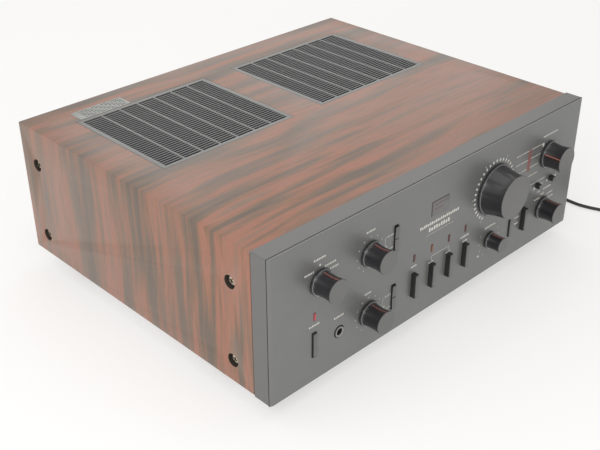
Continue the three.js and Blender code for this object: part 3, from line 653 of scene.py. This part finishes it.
class AMP_OT_vents(bpy.types.Operator):
    """Fine grilles of the two top vents and the foil plate behind the left one"""

    bl_idname = "amplifier.vents"
    bl_label = "Top vents"

    def execute(self, context):
        for side in ("left", "right"):
            self.grille("vent_grille_" + side, context.scene.cabinet.fins)
        self.plate()
        return {"FINISHED"}

    def grille(self, node, fins):
        x, y, _ = centre(node)
        top = span(node)[1][2]
        s = Shape(node + "_fine")
        half_w, half_d, wide, deep = 78.5, 68.25, 73.5, 64.0  # outside and opening of the border
        bottom = top - 9.3

        def border(out_w, out_d, in_w, in_d, lap, zs, bevel=0.0):
            for ys, xs in (
                ((-out_d, -in_d), (-out_w, out_w)),
                ((in_d, out_d), (-out_w, out_w)),
                ((-lap, lap), (-out_w, -in_w)),
                ((-lap, lap), (in_w, out_w)),
            ):
                s.box((x + xs[0], x + xs[1]), (y + ys[0], y + ys[1]), zs, "grille_paint", bevel)

        border(half_w, half_d, wide, deep, deep, (bottom, top), 0.25)
        border(82, 72, 75, half_d - 3, 70, (bottom - 1.1, bottom - 0.1))
        pitch = 2 * wide / VENT_COLUMNS
        for i in range(1, VENT_COLUMNS):
            at_x = x - wide + i * pitch
            ys = (y - deep - 0.5, y + deep + 0.5)
            s.box((at_x - 0.95, at_x + 0.95), ys, (top - 5, top - 0.02), "grille_paint", 0.2)
        step = 2 * deep / (fins + 1)
        for j in range(1, fins + 1):
            at_y = y - deep + j * step
            across = (x - wide - 0.4, x + wide + 0.4)
            # each fin: a near-black body of painted shade for its sides, under a cap in the fins' paint
            s.box(across, (at_y - 0.62, at_y + 0.62), (top - 6.5, top - 1.1), "grille_depth")
            s.box(across, (at_y - 0.74, at_y + 0.74), (top - 1.2, top - 0.35), "grille_fin", 0.18)
        return s.finish(slot="grille_grey", replaces=(node,), sharp=40)

    def plate(self):
        """Foil plate behind the left vent, with plain blocks in place of words."""
        (left, _, _), (_, rear, top) = span("cabinet_shell")
        s = Shape("rear_foil_label")
        x0, x1, y0, y1 = left + 45, left + 103, rear - 39, rear - 19.5
        s.box((x0, x1), (y0, y1), (top + 0.01, top + 0.16), "foil_label", 0.05)
        for row in range(6):
            y = y1 - 2.6 - row * 2.9
            for column in range(17):
                width = 1.2 + 1.5 * ((7 * column + 5 * row) % 4) / 3
                x = x0 + 7.5 + 2.9 * column
                s.box((x, x + width), (y - 0.85, y + 0.85), (top + 0.1, top + 0.2), "foil_print")
        return s.finish(slot="grille_grey")


# ------------------------------------------------------------------ front
def letters(s, x0, x1, z, high, depth, finish, letter=1.9, fill=0.7, low=1.0):
    """A row of blocks in place of a word, with every third one lower where low is under 1."""
    count = max(2, round((x1 - x0) / letter))
    step = (x1 - x0) / count
    for i in range(count):
        x = x0 + i * step
        tall = high * (low if i % 3 == 1 else 1.0)
        s.box((x, x + step * fill), depth, (z - high / 2, z - high / 2 + tall), finish)


def arc_dots(s, node, radius, angles, length, width, finish, ink):
    x, _, z = centre(node)
    for angle in angles:
        place = out_of_panel(x, z, -angle)
        ys = (radius - length / 2, radius + length / 2)
        s.box((-width / 2, width / 2), ys, (-INK_ROOT, ink), finish, 0, place)


# Words of the panel as rows of blocks: from x to x, at y, then height, finish and letter width where
# they differ. All in millimetres from the panel's upper left corner.
WORDS = (
    # speakers selector
    (49, 63, 22.5), (38.7, 49.4, 32.2), (61.6, 74.5, 32.2), (67.4, 77.4, 37.3),
    # tone controls, then their turnover rockers
    (110, 121, 22.5), (110.5, 119, 84),
    (137.4, 145, 37.5, 1.6, "print_pale"), (138.5, 145, 50.3, 1.6, "print_pale"),
    (137.7, 145.3, 99.2, 1.6, "print_pale"), (138.8, 145.3, 112.3, 1.6, "print_pale"),
    # power, phones and filter bars
    (43.7, 56, 84.3), (73, 85, 90), (171, 179, 84), (196, 203, 90.8), (221, 228, 90.8), (242, 255, 84),
    (246, 253, 89.5),
    # name block
    (180.5, 236, 48.8, 2.9, "print_white", 2.7), (193, 223.5, 54.8, 3.9, "print_white", 3.4),
    # balance, muting and mode
    (281, 297, 90), (272, 276, 118, 1.8), (302, 306, 118, 1.8), (319, 328, 84), (331, 338, 99),
    (331, 338, 106),
    # input selector
    (365.5, 390.6, 21.8), (322, 329.5, 28.7, 1.7, "print_pale"), (322, 329.5, 38.5, 1.7, "print_pale"),
    (324, 331.5, 48.3, 1.7, "print_pale"),
    # tape buttons and record selector
    (359, 363, 76.5, 4), (371, 375, 76, 3.5), (381, 384, 75.5, 2.5), (393, 399, 75.5, 4),
    (367, 372, 83.5, 1.8), (377, 391, 83.5, 1.8), (374, 380, 88.5, 2.4),
    (363, 373, 91.5, 1.6), (385, 396, 92, 1.6), (384, 398, 97, 1.6),
)
# Lines from x, y to x, y, then finish and thickness where they differ.
LINES = (
    # speakers mark
    (55.9, 28.7, 55.9, 28.7, "print_white", 1.8),
    # turnover rockers
    (134, 37.5, 134, 46.3), (134, 37.5, 137, 37.5), (134, 46.3, 136.5, 48.3),
    (134.3, 99.2, 134.3, 108.3), (134.3, 99.2, 137.3, 99.2), (134.3, 108.3, 136.8, 110.3),
    # filter bracket and the line under the name block
    (199.5, 89, 199.5, 84.5), (199.5, 84.5, 225, 84.5), (225, 84.5, 225, 89),
    (190, 59.8, 228, 59.8, "print_pale", 0.4),
    # input selector
    (330, 28.7, 365, 28.7, "print_white"), (365, 28.7, 367.5, 32, "print_white", 0.5),
    (330, 38.5, 363, 38.5, "print_white"), (333, 48.3, 361, 48.3, "print_white"),
    (346, 58, 361, 58, "print_white"), (352, 69.7, 377, 69.7, "print_white"),
)


class PanelSettings(bpy.types.PropertyGroup):
    edge: bpy.props.FloatProperty(
        name="Edge", description="Rounding of the panel's corners, in millimetres", default=0.35
    )
    ink: bpy.props.FloatProperty(
        name="Ink", description="Height of the printing, in millimetres", default=0.07
    )


class AMP_OT_panel(bpy.types.Operator):
    """Front plate, the frame behind it, printing, badge and indicator windows"""

    bl_idname = "amplifier.panel"
    bl_label = "Front panel"

    def execute(self, context):
        edge = context.scene.panel.edge
        softened("front_panel", "charcoal", edge, slot="charcoal_panel", sharp=12)
        softened("front_frame", "charcoal_frame", 1.7 * edge, slot="charcoal_panel", sharp=12)
        self.groove_shade()
        self.printing(context.scene.panel.ink)
        self.badge()
        self.windows()
        self.jack()
        return {"FINISHED"}

    def groove_shade(self):
        """Near-black strip between the plate and its frame, painted shade of the groove where they meet."""
        low, high = span("front_frame")
        s = Shape("panel_groove_shade")
        x, z0, z1 = high[0] + 0.05, low[2] - 0.05, high[2] + 0.05
        uprights = (z0 + 2.9, z1 - 2.9)
        for xs, zs in (
            ((-x, x), (z1 - 3, z1)),
            ((-x, x), (z0, z0 + 3)),
            ((-x, -x + 3), uprights),
            ((x - 3, x), uprights),
        ):
            # near-black strip round the plate's edge: painted shade of the groove
            s.box(xs, (1.35, 2.15), zs, "dark_inside")
        return s.finish(slot="charcoal_panel")

    def printing(self, ink):
        s = Shape("panel_printing")
        depth = (-ink, INK_ROOT)
        for x0, x1, y, *rest in WORDS:
            high, finish, letter = (*rest, *(1.7, "print_white", 1.75)[len(rest) :])
            x0, x1 = x0 - HALF_WIDTH, x1 - HALF_WIDTH
            letters(s, x0, x1, PANEL_TOP - y, high, depth, finish, letter, 0.62, 0.78)
        for x0, y0, x1, y1, *rest in LINES:
            finish, thick = (*rest, *("print_pale", 0.55)[len(rest) :])
            xs = sorted((x0 - HALF_WIDTH, x1 - HALF_WIDTH))
            zs = sorted((PANEL_TOP - y0, PANEL_TOP - y1))
            grow = thick / 2
            s.box((xs[0] - grow, xs[1] + grow), depth, (zs[0] - grow, zs[1] + grow), finish)
        for node in ("treble_shaft", "bass_shaft", "balance_shaft"):
            arc_dots(s, node, 16.2, range(-150, 151, 30), 1.1, 1.1, "print_pale", ink)
        arc_dots(s, "volume_shaft", 29.7, range(-150, 151, 10), 2.7, 1.9, "print_white", ink)
        arc_dots(s, "volume_shaft", 33.4, range(-150, 151, 60), 1.5, 1.0, "print_pale", ink)
        # red mark of the input selector
        s.box((126.6, 131.6), (-ink - 0.01, INK_ROOT), (PANEL_TOP - 51.5, PANEL_TOP - 28.5), "print_red")
        return s.finish(slot="charcoal_panel")

    def badge(self):
        s = Shape("badge_plate")
        x0, x1, z0, z1 = 195.5 - HALF_WIDTH, 219 - HALF_WIDTH, PANEL_TOP - 42, PANEL_TOP - 28
        # a dark strip shows along the badge's left and top edges only
        s.box((x0 - 0.45, x1), (-0.2, INK_ROOT), (z0, z1 + 0.45), "badge_edge", 0.08)
        s.box((x0, x1), (-0.35, 0.0), (z0, z1), "badge", 0.15)
        for i, width in enumerate((17, 12)):
            z = z1 - 3.6 - 4.4 * i
            s.box((x0 + 3, x0 + 3 + width), (-0.40, -0.3), (z - 0.3, z + 0.3), "lens_dull")
        return s.finish(slot="charcoal_panel")

    def windows(self):
        """One light guide with a rounded post in each window."""
        low, high = span("indicator_lenses")
        s = Shape("indicator_lens_strip")
        z = (low[2] + high[2]) / 2
        s.box((low[0], high[0]), (4.3, 6.3), (low[2], high[2]), "lens_dull", 0.3)
        tints = ("lens_red", "lens_dull", "lens_orange", "lens_dull", "lens_dull")
        for x, tint in zip((-164.9, -40.1, -15.5, 9.1, 33.7), tints):
            s.box((x - 1.0, x + 1.0), (-0.6, 5.0), (z - 3.5, z + 3.5), tint, 0.3)
        return s.finish(slot="lens_red", replaces=("indicator_lenses",), sharp=40)

    def jack(self):
        x, _, z = centre("headphone_jack")
        s = Shape("headphone_socket")
        profile = [(0, -44), (3.2, -44), (3.2, 0.4), (3.5, 0.8), (5.0, 0.8), (5.8, 0.3), (5.8, -23.5)]
        profile += [(8.5, -23.5), (8.5, -48), (0, -48)]
        # the bore's bottom and wall get near-black painted shade
        tints = ["dark_inside", "dark_inside", "collar", "collar", "bar_side", "black_plastic"]
        tints += ["black_plastic"] * 3
        s.lathe(profile, out_of_panel(x, z), tints, 40)
        return s.finish(slot="jack_nickel", replaces=("headphone_jack",), sharp=35)


# ------------------------------------------------------------------ knobs
KNOB_SIDES = 216
KNOB_RINGS = 12  # steps along a knob's waisted side
KNOB_BORE, KNOB_GAP = 3.3, 0.8  # hole for the shaft, and space behind the flange
# radii of flange, painted highlight ring, base, waist and face, then how far the face stands out
MINI = (8.9, 8.3, 7.6, 7.0, 7.7, 16.8)
SMALL = (12.2, 11.55, 10.7, 9.7, 11.0, 20.5)
MIDDLE = (14.3, 13.6, 12.9, 11.6, 13.5, 21.5)
LARGE = (26.0, 25.2, 24.5, 20.9, 21.6, 24.1)
# size, and degrees that the pointer stands turned from straight up
KNOBS = {
    "speakers": (SMALL, 0),
    "treble": (SMALL, 0),
    "bass": (SMALL, 0),
    "volume": (LARGE, -150),
    "balance": (MINI, 0),
    "input": (MIDDLE, -70),
    "record": (SMALL, 0),
}


class KnobSettings(bpy.types.PropertyGroup):
    pointer: bpy.props.FloatProperty(
        name="Pointer", description="Width of the pale pointer line, in millimetres", default=0.7
    )


class AMP_OT_knobs(bpy.types.Operator):
    """Turning knobs with a painted highlight ring on the flange's rim, waisted side, flat face, and pointer
    line with a painted reflection beside it
    """

    bl_idname = "amplifier.knobs"
    bl_label = "Knobs"

    def execute(self, context):
        for name, (size, turned) in KNOBS.items():
            self.knob(name, size, turned, context.scene.knobs.pointer)
        return {"FINISHED"}

    def knob(self, name, size, turned, pointer):
        x, _, z = centre(name + "_shaft")
        flange, ring, base, waist, face, out = size
        fall = 1.5 if size is LARGE else 2.2  # how fast the base narrows to the waist
        profile = [(KNOB_BORE, KNOB_GAP), (flange - 0.3, KNOB_GAP), (flange, 1.1), (flange, 2.2)]
        profile.append((flange - 0.3, 2.6))
        tints = ["knob_side"] * 4
        # lighter ring on the flange's rim bevel: painted highlight
        profile += [(ring + 0.08, 2.7), (ring + 0.08, 2.95), (ring - 0.1, 3.05), (ring - 0.28, 3.0)]
        tints += ["knob_side", "bright_ring", "bright_ring", "bright_ring"]
        side_from = len(profile) - 1
        lower = 4.2
        for k in range(KNOB_RINGS + 1):
            t = k / KNOB_RINGS
            radius = waist + (base - waist) * (1 - t) ** fall + (face - waist) * t**2.4
            profile.append((radius, lower + (out - 0.35 - lower) * t))
            tints.append("knob_side")
        profile += [(face - 0.3, out - 0.02), (face - 0.7, out), (0, out)]
        profile += [(0, out - 4), (KNOB_BORE, out - 4), (KNOB_BORE, KNOB_GAP)]
        tints += ["knob_side", "knob_face", "knob_face", "knob_side", "knob_side", "knob_side"]
        line = math.degrees(pointer / 2 / face)

        def paint(k, angle):
            if not side_from < k <= side_from + KNOB_RINGS:
                return None
            off = abs((angle - 90 + 180) % 360 - 180)  # from the pointer line
            if off < line:
                return "pointer_line"
            # dark red band either side of the pointer line: painted reflection
            return "pointer_band" if off < 5 * line else None

        s = Shape(name + "_knob_cap")
        s.lathe(profile, out_of_panel(x, z, -turned), tints, KNOB_SIDES, paint)
        bmesh.ops.remove_doubles(s.bm, verts=s.bm.verts, dist=1e-4)
        body = "body_" + name + "_knob"
        return s.finish(body=body, slot="knob_black", replaces=(name + "_knob",), sharp=28)


# ------------------------------------------------------------------ switches
PUSH_BARS = ("power", "subsonic", "high_filter", "tone_defeat", "loudness", "muting", "mode")


class SwitchSettings(bpy.types.PropertyGroup):
    edge: bpy.props.FloatProperty(
        name="Edge", description="Rounding of the bars' corners, in millimetres", default=0.3
    )


class AMP_OT_switches(bpy.types.Operator):
    """Push bars, rockers and small buttons"""

    bl_idname = "amplifier.switches"
    bl_label = "Switches"

    def execute(self, context):
        edge = context.scene.switches.edge
        for name in PUSH_BARS:
            self.bar(name, edge)
        for name in ("treble_turnover", "bass_turnover"):
            self.rocker(name)
        for name in ("tape_button_left", "tape_button_right"):
            self.button(name, edge)
        return {"FINISHED"}

    def bar(self, name, edge):
        node = name + "_bar"
        low, high = span(node)
        x, _, z = centre(node)
        front = low[1]
        s = Shape(node + "_cap")
        s.box((x - 2.4, x + 2.4), (front + 0.3, front + 17.5), (low[2], high[2]), "bar_side", edge)
        s.box((x - 2.05, x + 2.05), (front, front + 1), (low[2] + 0.9, high[2] - 0.9), "bar_face", 0.2)
        s.box((x - 1.5, x + 1.5), (front + 17, high[1]), (z - 4, z + 4), "black_plastic", 0.2)
        return s.finish("body_" + name + "_bar", slot="switch_black", replaces=(node,), sharp=40)

    def rocker(self, name):
        node = name + "_rocker"
        x, _, z = centre(node)
        low, high = span(node)
        half = (high[2] - low[2]) / 2
        front = low[1]
        s = Shape(node + "_cap")
        side = [(8.0, -half), (8.0, half), (front + 0.2, half), (front, half - 0.5), (front + 0.45, 0.5)]
        side += [(front + 0.8, 0.45), (front + 0.8, -0.45), (front + 0.45, -0.5), (front, -half + 0.5)]
        side += [(front + 0.2, -half)]
        left = [s.bm.verts.new((x - 2.4, y, z + dz)) for y, dz in side]
        right = [s.bm.verts.new((x + 2.4, y, z + dz)) for y, dz in side]
        faces = [s.bm.faces.new(left), s.bm.faces.new(list(reversed(right)))]
        s.paint(faces, "bar_side")
        for i in range(len(side)):
            j = (i + 1) % len(side)
            face = s.bm.faces.new((left[j], left[i], right[i], right[j]))
            s.paint([face], "bar_face" if i in (3, 7) else "bar_side")
        s.lathe([(0, -4.5), (1, -4.5), (1, 4.5), (0, 4.5)], along_x(1, x, 6, z), "nickel", 16)
        s.box((x - 1.5, x + 1.5), (7, 17), (z - 2.5, z + 2.5), "black_plastic", 0.3)
        return s.finish("body_" + name, slot="switch_black", replaces=(node,), sharp=30)

    def button(self, node, edge):
        (x0, y0, z0), (x1, y1, z1) = span(node)
        x, z = (x0 + x1) / 2, (z0 + z1) / 2
        s = Shape(node + "_cap")
        s.box((x0, x1), (y0 + 0.2, 10), (z0, z1), "bar_side", edge)
        s.box((x0 + 0.5, x1 - 0.5), (y0, y0 + 1), (z0 + 0.5, z1 - 0.5), "bar_face", 0.2)
        s.box((x - 1.5, x + 1.5), (9, y1), (z - 1.5, z + 1.5), "black_plastic", 0.2)
        return s.finish("body_" + node, slot="switch_black", replaces=(node,), sharp=40)


# ------------------------------------------------------------------ rear
TERMINAL_COLUMNS, TERMINAL_PITCH = 4, 27
SOCKET_COLUMNS, SOCKET_PITCH = 7, 22


def columns(x, count, pitch):
    """Evenly spaced places with their middle at x."""
    return [x + (i - (count - 1) / 2) * pitch for i in range(count)]


class RearSettings(bpy.types.PropertyGroup):
    ink: bpy.props.FloatProperty(
        name="Ink", description="Height of the printing, in millimetres", default=0.08
    )


class AMP_OT_rear(bpy.types.Operator):
    """Rear panel with its terminals, input sockets and screws"""

    bl_idname = "amplifier.rear"
    bl_label = "Rear"

    def execute(self, context):
        softened("rear_panel", "rear_paint", 0.15, slot="rear_black")
        self.speaker_block()
        self.sockets()
        self.fixings(context.scene.rear.ink)
        return {"FINISHED"}

    def block(self, s, low, high, plate, bevel):
        """A plate on the rear panel with its body through the panel."""
        s.box((low[0], high[0]), (REAR_SEAT, plate), (low[2], high[2]), "black_plastic", bevel)
        inner = (low[0] + 6, high[0] - 6), (low[1], REAR_SEAT + 0.2), (low[2] + 6, high[2] - 6)
        s.box(*inner, "black_plastic", 0.4)

    def speaker_block(self):
        node = "speaker_terminals"
        x, _, z = centre(node)
        low, high = span(node)
        plate = REAR_SEAT + 4
        s = Shape("speaker_terminal_block")
        self.block(s, low, high, plate, 0.6)
        for i, px in enumerate(columns(x, TERMINAL_COLUMNS, TERMINAL_PITCH)):
            for row in (-1, 1):
                tint = "red_plastic" if i % 2 else "black_plastic"
                place = along_back(px, z + row * 11, plate - 0.5)
                cap = high[1] - plate + 0.5
                s.lathe([(0, 0), (2.2, 0), (2.2, 4.5), (0, 4.5)], place, "nickel", 20)
                collar = [(0, 0.2), (5.2, 0.2), (5.2, 1.6), (0, 1.6)]
                s.lathe(collar, place, tint, 24)
                # fluted cap: the radius steps in and out round the post
                corners = 18 * 4
                rings = []
                for y, r in ((4.0, 4.6), (4.5, 5.2), (cap - 1.2, 5.2), (cap, 4.4)):
                    ring = []
                    for k in range(corners):
                        radius = r - (0.45 if k % 4 in (0, 1) else 0.0)
                        a = 2 * math.pi * k / corners
                        ring.append(place @ Vector((radius * math.cos(a), radius * math.sin(a), y)))
                    rings.append(ring)
                s.loft(rings, tint)
        return s.finish(slot="terminal_plastic", replaces=(node,), sharp=30)

    def sockets(self):
        node = "input_jack_strip"
        x, _, z = centre(node)
        low, high = span(node)
        plate = REAR_SEAT + 2
        s = Shape("input_socket_strip")
        self.block(s, low, high, plate, 0.4)
        reach = high[1] - plate
        for px in columns(x, SOCKET_COLUMNS, SOCKET_PITCH):
            for row in (-1, 1):
                place = along_back(px, z + row * 10, plate - 0.2)
                tint = "white_plastic" if row > 0 else "red_plastic"
                s.lathe([(0, 0), (6.0, 0), (6.0, 1.0), (5.6, 1.3), (0, 1.3)], place, tint, 32)
                shell = [(0, 0), (4.2, 0), (4.2, reach), (3.9, reach + 0.2), (3.3, reach + 0.2)]
                s.lathe([*shell, (3.3, 2), (0, 2)], place, "nickel", 32)
                lining = [(1.4, 1.5), (3.3, 1.5), (3.3, reach - 1), (1.4, reach - 1), (1.4, 1.5)]
                s.lathe(lining, place, "black_plastic", 24)
        return s.finish(slot="terminal_plastic", replaces=(node,), sharp=35)

    def fixings(self, ink):
        s = Shape("rear_fixings")
        face = REAR_FACE
        z_low, z_high = 26.0, 138.0
        spots = [(x, z) for x in (-198, 0, 198) for z in (z_low, z_high)]
        for x, z in (*spots, (8, 91)):
            place = along_back(x, z, face - 0.1)
            s.lathe([(0, 0), (3.2, 0), (3.2, 1.0), (2.4, 1.9), (0, 2.2)], place, "nickel", 24)
            for turn in (30, 120):
                across = Matrix.Rotation(math.radians(turn), 4, "Z")
                slot = place @ Matrix.Translation((0, 0, 2.22)) @ across
                # dark cross on the head: painted shade of the slot, which is not cut
                s.box((-1.5, 1.5), (-0.3, 0.3), (-0.3, 0.04), "bronze_slot", 0, slot)

        words = [(x - 5, x + 5, 120, 1.8) for x in columns(-104, SOCKET_COLUMNS, SOCKET_PITCH)]
        words += [(-124, -84, 64, 2.2), (72, 112, 64, 2.2), (78, 106, 122, 2.2), (162, 194, 60, 2)]
        for word in words:
            letters(s, *word, (face - INK_ROOT, face + ink), "print_white")
        post = [(0, 0), (5.0, 0), (5.0, 2), (2, 2.2), (2, 4), (4.6, 4.2), (4.6, 11), (4.0, 11.6), (0, 11.6)]
        s.lathe(post, along_back(10, 60, face - 0.1), "nickel", 28)
        s.box((20, 64), (face - 0.05, face + 0.25), (28, 46), "foil_label", 0.08)
        for i, width in enumerate((34, 26, 30)):
            s.box((24, 24 + width), (face + 0.2, face + 0.32), (40.4 - 5 * i, 42 - 5 * i), "foil_print")
        return s.finish(slot="rear_black", sharp=35)


# ------------------------------------------------------------------ underside and inside
class InsideSettings(bpy.types.PropertyGroup):
    ribs: bpy.props.IntProperty(name="Foot ribs", description="Ribs round each foot", default=40)


class AMP_OT_inside(bpy.types.Operator):
    """Chassis, feet and the parts seen through the vents"""

    bl_idname = "amplifier.inside"
    bl_label = "Chassis and inside"

    def execute(self, context):
        for node, finish, edge, slot in (
            ("base_tray", "zinc", 0.15, "chassis_steel"),
            ("front_subpanel", "zinc", 0.1, "chassis_steel"),
            ("control_board", "board", 0.2, "circuit_board"),
            ("main_board", "board", 0.3, "circuit_board"),
            ("heatsink_left", "anodised", 0.3, "heatsink_black"),
            ("heatsink_right", "anodised", 0.3, "heatsink_black"),
        ):
            softened(node, finish, edge, slot=slot)
        for name in KNOBS:
            softened(name + "_shaft", "nickel", 0.3, "body_" + name + "_knob", "shaft_aluminium")
        for corner in ("front_left", "front_right", "rear_left", "rear_right"):
            self.foot("foot_" + corner, context.scene.inside.ribs)
        self.transformer()
        for side in ("left", "right"):
            self.capacitor("filter_capacitor_" + side)
        self.tray_screws()
        return {"FINISHED"}

    def foot(self, node, ribs):
        x, y, _ = centre(node)
        top = span(node)[1][2]
        s = Shape(node + "_moulding")
        profile = [(0, 3), (14, 3), (14.6, 0.6), (15.2, 0.05), (18.2, 0.05), (19.3, 0.7), (19.8, 2.2)]
        profile += [(19.9, 5), (19.5, 12), (19.2, top - 0.6), (18.8, top), (0, top)]
        tints = ["foot_pad", "foot_pad", "foot_pad", "foot_pad"] + ["foot_black"] * 7
        s.lathe(profile, upright(x, y), tints, ribs * 2)
        s.lathe([(0, 3.1), (3.6, 3.1), (3.6, 1.9), (2.6, 1.4), (0, 1.2)], upright(x, y), "zinc", 24)
        return s.finish(slot="foot_plastic", replaces=(node,), sharp=35)

    def transformer(self):
        (x0, y0, z0), (x1, y1, z1) = span("power_transformer")
        s = Shape("power_transformer_build")
        s.box((x0, x1), (y0, y1), (z0, z0 + 2.8), "rear_paint", 0.4)
        s.box((x0 + 10.2, x1 - 10.2), (y0 + 20, y1 - 20), (z0 + 2.6, z1 - 2), "laminations", 0.5)
        for ys in ((y0 + 0.5, y0 + 21), (y1 - 21, y1 - 0.5)):
            s.box((x0 + 14, x1 - 14), ys, (z0 + 2.6, z1 - 6), "rear_paint", 5)
        s.box((x0 + 30, x1 - 30), (y0 + 12, y1 - 12), (z1 - 9, z1 - 0.5), "copper", 2)
        return s.finish(slot="transformer_core", replaces=("power_transformer",), sharp=35)

    def capacitor(self, node):
        x, y, _ = centre(node)
        low, high = span(node)
        s = Shape(node + "_can")
        z0, z1 = low[2], high[2]
        profile = [(0, z0), (21.6, z0), (21.9, z0 + 1), (21.9, z1 - 3), (21.4, z1 - 1), (20.4, z1 - 0.1)]
        profile += [(19.2, z1 - 0.3), (18.6, z1 - 1.4), (0, z1 - 1.2)]
        tints = ["sleeve_blue"] * 5 + ["nickel", "nickel", "black_plastic"]
        s.lathe(profile, upright(x, y), tints, 48)
        return s.finish(slot="capacitor_sleeve", replaces=(node,), sharp=40)

    def tray_screws(self):
        s = Shape("base_screws")
        z = span("base_tray")[0][2]
        for x in (-190, -95, 95, 190):
            for y in (34, 188, 336):
                place = Matrix.Translation((x, y, z + 0.05)) @ Matrix.Rotation(math.pi, 4, "X")
                s.lathe([(0, 0), (3.4, 0), (3.4, 0.9), (2.6, 1.7), (0, 2.0)], place, "nickel", 24)
        return s.finish(slot="chassis_steel")


# ------------------------------------------------------------------ stage
class StageSettings(bpy.types.PropertyGroup):
    floor: bpy.props.FloatVectorProperty(
        name="Floor", description="Colour of the pale floor", subtype="COLOR", default=(0.46, 0.457, 0.45)
    )
    light: bpy.props.FloatProperty(
        name="Room light", description="Strength of the even room light", default=0.62
    )
    glow: bpy.props.FloatProperty(name="Floor glow", description="Light of the paper itself", default=0.52)
    key: bpy.props.FloatProperty(
        name="Lamps", description="Share of the soft lamps' full power", default=1.0
    )


# name, place in metres, width in metres, watts
LAMPS = (
    ("front_left", (-0.90, -0.60, 0.70), 0.6, 4.9),
    ("rear_left", (-1.5, 0.9, 1.5), 1.6, 7.0),
    ("far_right", (1.5, 1.6, 1.45), 2.0, 8.5),
    ("overhead", (0.0, 0.0, 1.9), 1.5, 6.0),
)


CAMERA_PLACE = (-0.62453, -0.62600, 0.55082)  # metres
CAMERA_TURN = (-44.29, 30.62, -0.2)  # degrees round, down and rolled
LENS_MM = 59.118
SENSOR_MM = 36
AIM = Vector((0, 0, 0.06))  # what the lamps look at
FLOOR_REACH = 6  # from the middle to each edge, in metres


def camera_turn(azimuth, elevation, roll):
    a, e, r = (math.radians(v) for v in (azimuth, elevation, roll))
    back = Vector((math.sin(a) * math.cos(e), -math.cos(a) * math.cos(e), math.sin(e)))
    right = Vector((0, 0, 1)).cross(back).normalized()
    up = back.cross(right)
    c, s = math.cos(r), math.sin(r)
    turn = Matrix((c * right + s * up, -s * right + c * up, back)).transposed()
    return turn.to_4x4()


class AMP_OT_stage(bpy.types.Operator):
    """Camera, pale floor and soft light"""

    bl_idname = "amplifier.stage"
    bl_label = "Stage"

    def execute(self, context):
        scene = context.scene
        lens = bpy.data.cameras.new("studio_camera")
        lens.lens = LENS_MM
        lens.sensor_width = SENSOR_MM
        lens.clip_start, lens.clip_end = 0.05, 60
        camera = bpy.data.objects.new("studio_camera", lens)
        camera.matrix_world = Matrix.Translation(CAMERA_PLACE) @ camera_turn(*CAMERA_TURN)
        scene.collection.objects.link(camera)
        scene.camera = camera
        scene.view_settings.view_transform = "Standard"
        bm = bmesh.new()
        bmesh.ops.create_grid(bm, x_segments=40, y_segments=40, size=FLOOR_REACH)
        mesh = bpy.data.meshes.new("pale_floor")
        bm.to_mesh(mesh)
        bm.free()
        m = Recipe("floor_paper")
        tint = tuple(scene.stage.floor)
        paper = m.ramp(m.noise((6, 6, 6), 3), [(0.3, tuple(c * 0.995 for c in tint)), (0.7, tint)])
        m.set(Base_Color=paper, Roughness=0.9, Specular_IOR_Level=0.0)
        m.set(Emission_Color=(1.0, 0.996, 0.985), Emission_Strength=scene.stage.glow)
        mesh.materials.append(m.material)
        floor = bpy.data.objects.new("pale_floor", mesh)
        scene.collection.objects.link(floor)
        world = bpy.data.worlds.new("even_room")
        world.use_nodes = True
        room = world.node_tree.nodes["Background"]
        room.inputs["Color"].default_value = (1.0, 0.995, 0.985, 1)
        room.inputs["Strength"].default_value = scene.stage.light
        scene.world = world
        for name, spot, size, power in LAMPS:
            lamp = bpy.data.lights.new(name, "AREA")
            lamp.energy = power * scene.stage.key
            lamp.size = size
            lamp.color = (1.0, 0.99, 0.975)
            light = bpy.data.objects.new(name, lamp)
            light.location = spot
            light.rotation_euler = (AIM - Vector(spot)).to_track_quat("-Z", "Y").to_euler()
            scene.collection.objects.link(light)
        return {"FINISHED"}


# ------------------------------------------------------------------ sidebar
GROUPS = {
    "stage": StageSettings,
    "lead": LeadSettings,
    "cabinet": CabinetSettings,
    "panel": PanelSettings,
    "knobs": KnobSettings,
    "switches": SwitchSettings,
    "rear": RearSettings,
    "inside": InsideSettings,
}
STEPS = (
    AMP_OT_stage,
    AMP_OT_lead,
    AMP_OT_cabinet,
    AMP_OT_vents,
    AMP_OT_panel,
    AMP_OT_knobs,
    AMP_OT_switches,
    AMP_OT_rear,
    AMP_OT_inside,
)


class AMP_PT_sidebar(bpy.types.Panel):
    """Lists the settings and steps of the amplifier"""

    bl_label = "Amplifier"
    bl_idname = "AMP_PT_sidebar"
    bl_space_type = "VIEW_3D"
    bl_region_type = "UI"
    bl_category = "Amplifier"

    def draw(self, context):
        for name, group in GROUPS.items():
            box = self.layout.box()
            box.label(text=name.capitalize())
            for key in group.__annotations__:
                box.prop(getattr(context.scene, name), key)
        for step in STEPS:
            self.layout.operator(step.bl_idname)


def register():
    for item in (*GROUPS.values(), *STEPS, AMP_PT_sidebar):
        bpy.utils.register_class(item)
    for name, group in GROUPS.items():
        setattr(bpy.types.Scene, name, bpy.props.PointerProperty(type=group))


def unregister():
    for name in GROUPS:
        delattr(bpy.types.Scene, name)
    for item in reversed((*GROUPS.values(), *STEPS, AMP_PT_sidebar)):
        bpy.utils.unregister_class(item)


def main():
    register()
    for step in STEPS:
        group, name = step.bl_idname.split(".")
        getattr(getattr(bpy.ops, group), name)()


if __name__ == "__main__":
    main()
